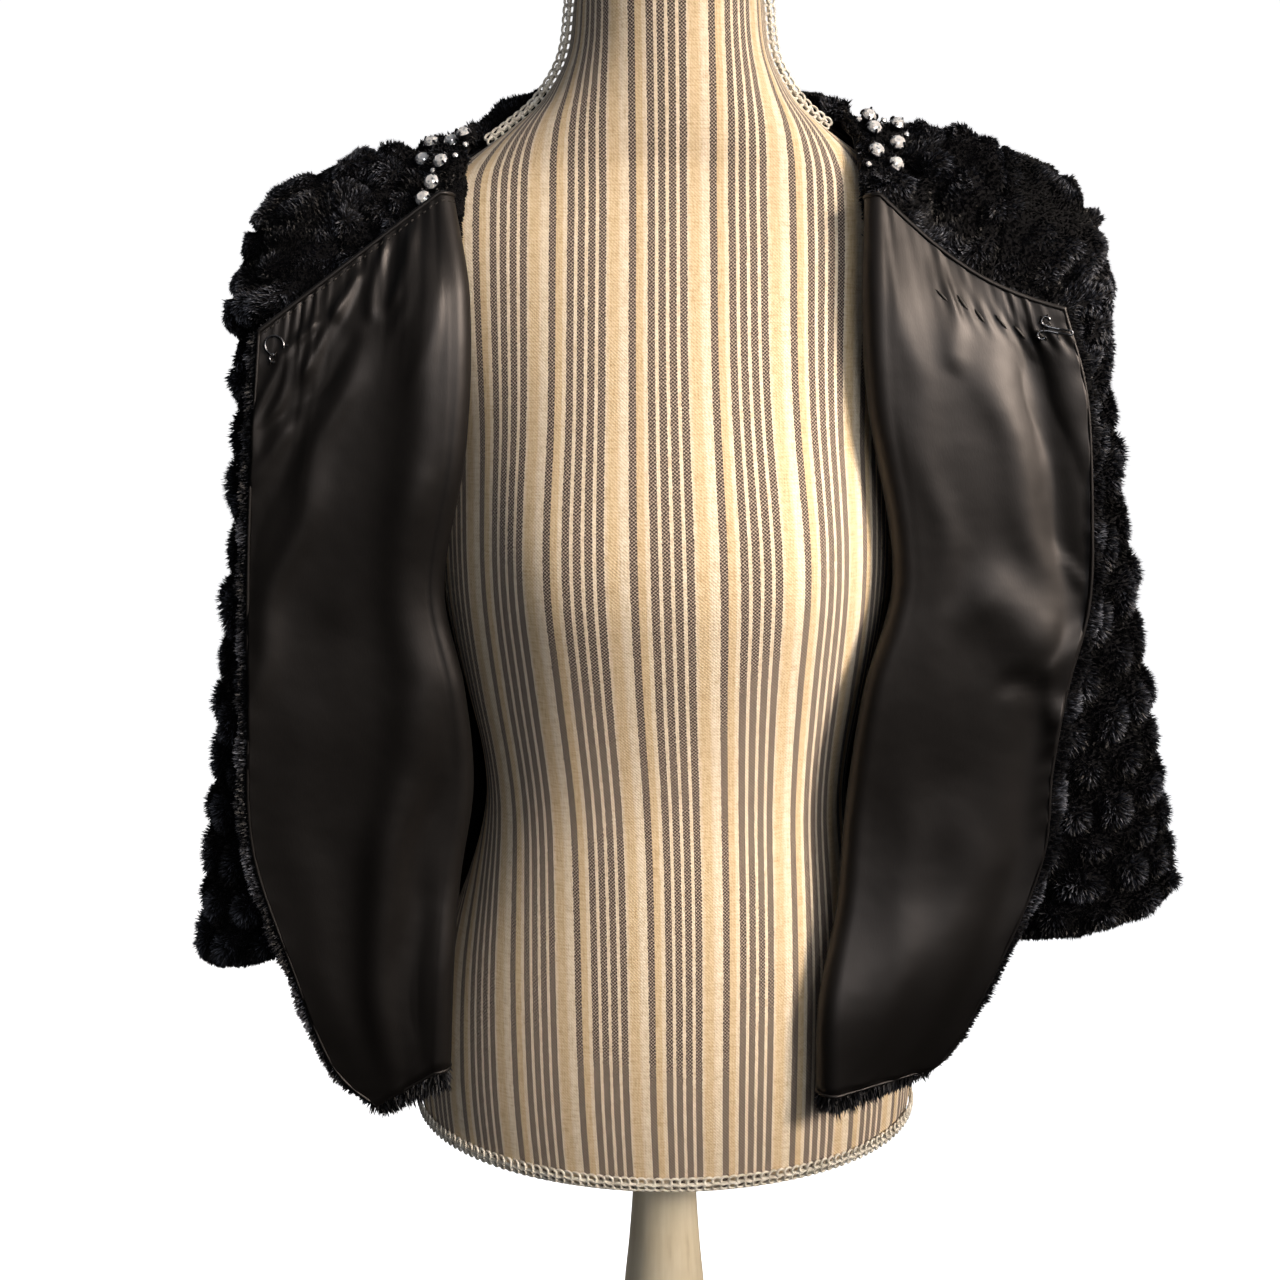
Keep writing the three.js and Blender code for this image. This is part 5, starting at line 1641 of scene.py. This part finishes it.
class SHRUG_OT_stage(bpy.types.Operator):
    """Floor, backdrop, lamps and camera"""

    bl_idname = "shrug.stage"
    bl_label = "Stage"

    def execute(self, context):
        stage = context.scene.shrug_stage
        profile = [(0, 0.01), (0, 2.6)]
        profile += [
            (0.9 - 0.9 * math.cos(t), 2.6 + 0.9 * math.sin(t)) for t in np.linspace(0.1, math.pi / 2, 10)
        ]
        profile += [(4.5, 3.5)]
        rows = np.array(profile)
        a = 2 * np.pi * np.arange(64) / 64
        rings = np.stack([rows[:, 1:2] * np.cos(a), rows[:, 1:2] * np.sin(a), rows[:, 0:1] + 0 * a], -1)
        rings = rings * 1000 - [0, 0, FORM_Z]
        sweep = open_rings("studio_sweep", rings)
        material, tree, shader = new_material("matte_studio_sweep")
        set_inputs(tree, shader, {
            "Base Color": linear("#f4f4f4"), "Roughness": 0.95, "Specular IOR Level": 0.1,
            "Emission Color": linear("#ffffff"), "Emission Strength": stage.backdrop_glow,
        })
        sweep.data.materials.append(material)
        # The sweep is only seen: the room and the lamps light the object and show in satin, glass and wire
        sweep.visible_glossy = False
        sweep.visible_diffuse = False

        world = bpy.data.worlds.new("soft_room")
        world.use_nodes = True
        tree = world.node_tree
        tree.nodes.clear()
        way = node(tree, "ShaderNodeTexCoord").outputs["Generated"]
        up = node(tree, "ShaderNodeSeparateXYZ", links={"Vector": way}).outputs["Z"]
        seen = ramp(tree, up, [(0.0, "#141416"), (0.3, "#3c3c3e"), (0.8, "#dcdcde")])
        soft = ramp(tree, up, [(0.0, "#8d8b8c"), (0.5, "#d3d6e0"), (0.9, "#eef1fb")])
        ray = node(tree, "ShaderNodeLightPath").outputs["Is Glossy Ray"]
        room = node(tree, "ShaderNodeMix", {"data_type": "RGBA"}, {"Factor": ray, 6: soft, 7: seen})
        sky = node(
            tree, "ShaderNodeBackground", links={"Color": room.outputs[2], "Strength": stage.room_light}
        )
        node(tree, "ShaderNodeOutputWorld", links={"Surface": sky.outputs[0]})
        context.scene.world = world
        self.lamp(
            "key_lamp", (1.3, -1.0, 1.4), (0.03, -0.08, 0.71), 0.55, 0.55, stage.key_power, "#ffeddb", 40
        )
        self.lamp(
            "front_panel", (0.58, -1.5, 1.12), (0, -0.08, 0.8), 1.0, 0.7, stage.fill_power, "#f6f3f2", 80
        )
        self.lamp("back_panel", (-0.6, 1.7, 1.0), (0, 0.1, 0.7), 1.0, 0.8, stage.back_power, "#f4f4f8", 100)
        context.scene.view_settings.view_transform = "Standard"
        context.scene.view_settings.look = "None"

        camera = bpy.data.objects.new("camera", bpy.data.cameras.new("camera"))
        camera.data.lens = 36
        camera.data.sensor_width = 36
        camera.data.clip_end = 20
        camera.location = (CAMERA_SIDE / 1000, -CAMERA_AHEAD / 1000, stage.camera_height)
        camera.rotation_euler = (math.radians(90) - CAMERA_TILT, 0, 0)
        context.scene.collection.objects.link(camera)
        context.scene.camera = camera
        return {"FINISHED"}

    def lamp(self, name, place, target, wide, high, power, code, spread):
        """A soft rectangular lamp that looks at a point"""
        data = bpy.data.lights.new(name, "AREA")
        data.shape = "RECTANGLE"
        data.size, data.size_y = wide, high
        data.spread = math.radians(spread)
        data.energy = power
        data.color = linear(code)[:3]
        made = bpy.data.objects.new(name, data)
        made.location = place
        way = unit(np.array(target, float) - np.array(place, float))
        made.rotation_euler = (math.acos(-way[2]), 0, math.atan2(-way[0], way[1]))
        bpy.context.scene.collection.objects.link(made)


def open_rings(name, rings):
    """An open surface from rings, facing inwards and up"""
    count, sides = rings.shape[:2]
    j, i = (g.ravel() for g in np.meshgrid(np.arange(count - 1), np.arange(sides), indexing="ij"))
    m = (i + 1) % sides
    quads = np.stack([j * sides + i, (j + 1) * sides + i, (j + 1) * sides + m, j * sides + m], 1)
    mesh = bpy.data.meshes.new(name)
    mesh.from_pydata(metres(rings.reshape(-1, 3)).tolist(), [], quads.tolist())
    mesh.polygons.foreach_set("use_smooth", [True] * len(mesh.polygons))
    made = bpy.data.objects.new(name, mesh)
    bpy.context.scene.collection.objects.link(made)
    return made


OPERATORS = [
    SHRUG_OT_form, SHRUG_OT_stand, SHRUG_OT_back, SHRUG_OT_sleeves, SHRUG_OT_fronts, SHRUG_OT_stones,
    SHRUG_OT_fastener, SHRUG_OT_stage,
]


class SHRUG_PT_sidebar(bpy.types.Panel):
    """Lists the sizes, colours and pieces"""

    bl_label = "Shrug"
    bl_idname = "SHRUG_PT_sidebar"
    bl_space_type = "VIEW_3D"
    bl_region_type = "UI"
    bl_category = "Shrug"

    def draw(self, context):
        scene = context.scene
        for group in (scene.shrug_cloth, scene.shrug_form, scene.shrug_stage):
            box = self.layout.box()
            for key in group.bl_rna.properties.keys():
                if key not in ("rna_type", "name"):
                    box.prop(group, key)
        for operator in OPERATORS:
            self.layout.operator(operator.bl_idname)


CLASSES = [ShrugCloth, ShrugForm, ShrugStage, *OPERATORS, SHRUG_PT_sidebar]


def register():
    for item in CLASSES:
        bpy.utils.register_class(item)
    bpy.types.Scene.shrug_cloth = bpy.props.PointerProperty(type=ShrugCloth)
    bpy.types.Scene.shrug_form = bpy.props.PointerProperty(type=ShrugForm)
    bpy.types.Scene.shrug_stage = bpy.props.PointerProperty(type=ShrugStage)


def unregister():
    del bpy.types.Scene.shrug_cloth
    del bpy.types.Scene.shrug_form
    del bpy.types.Scene.shrug_stage
    for item in reversed(CLASSES):
        bpy.utils.unregister_class(item)


def main():
    register()
    bpy.ops.shrug.stage()
    bpy.ops.shrug.form()
    bpy.ops.shrug.stand()
    bpy.ops.shrug.back()
    bpy.ops.shrug.sleeves()
    bpy.ops.shrug.fronts()
    bpy.ops.shrug.stones()
    bpy.ops.shrug.fastener()


if __name__ == "__main__":
    main()
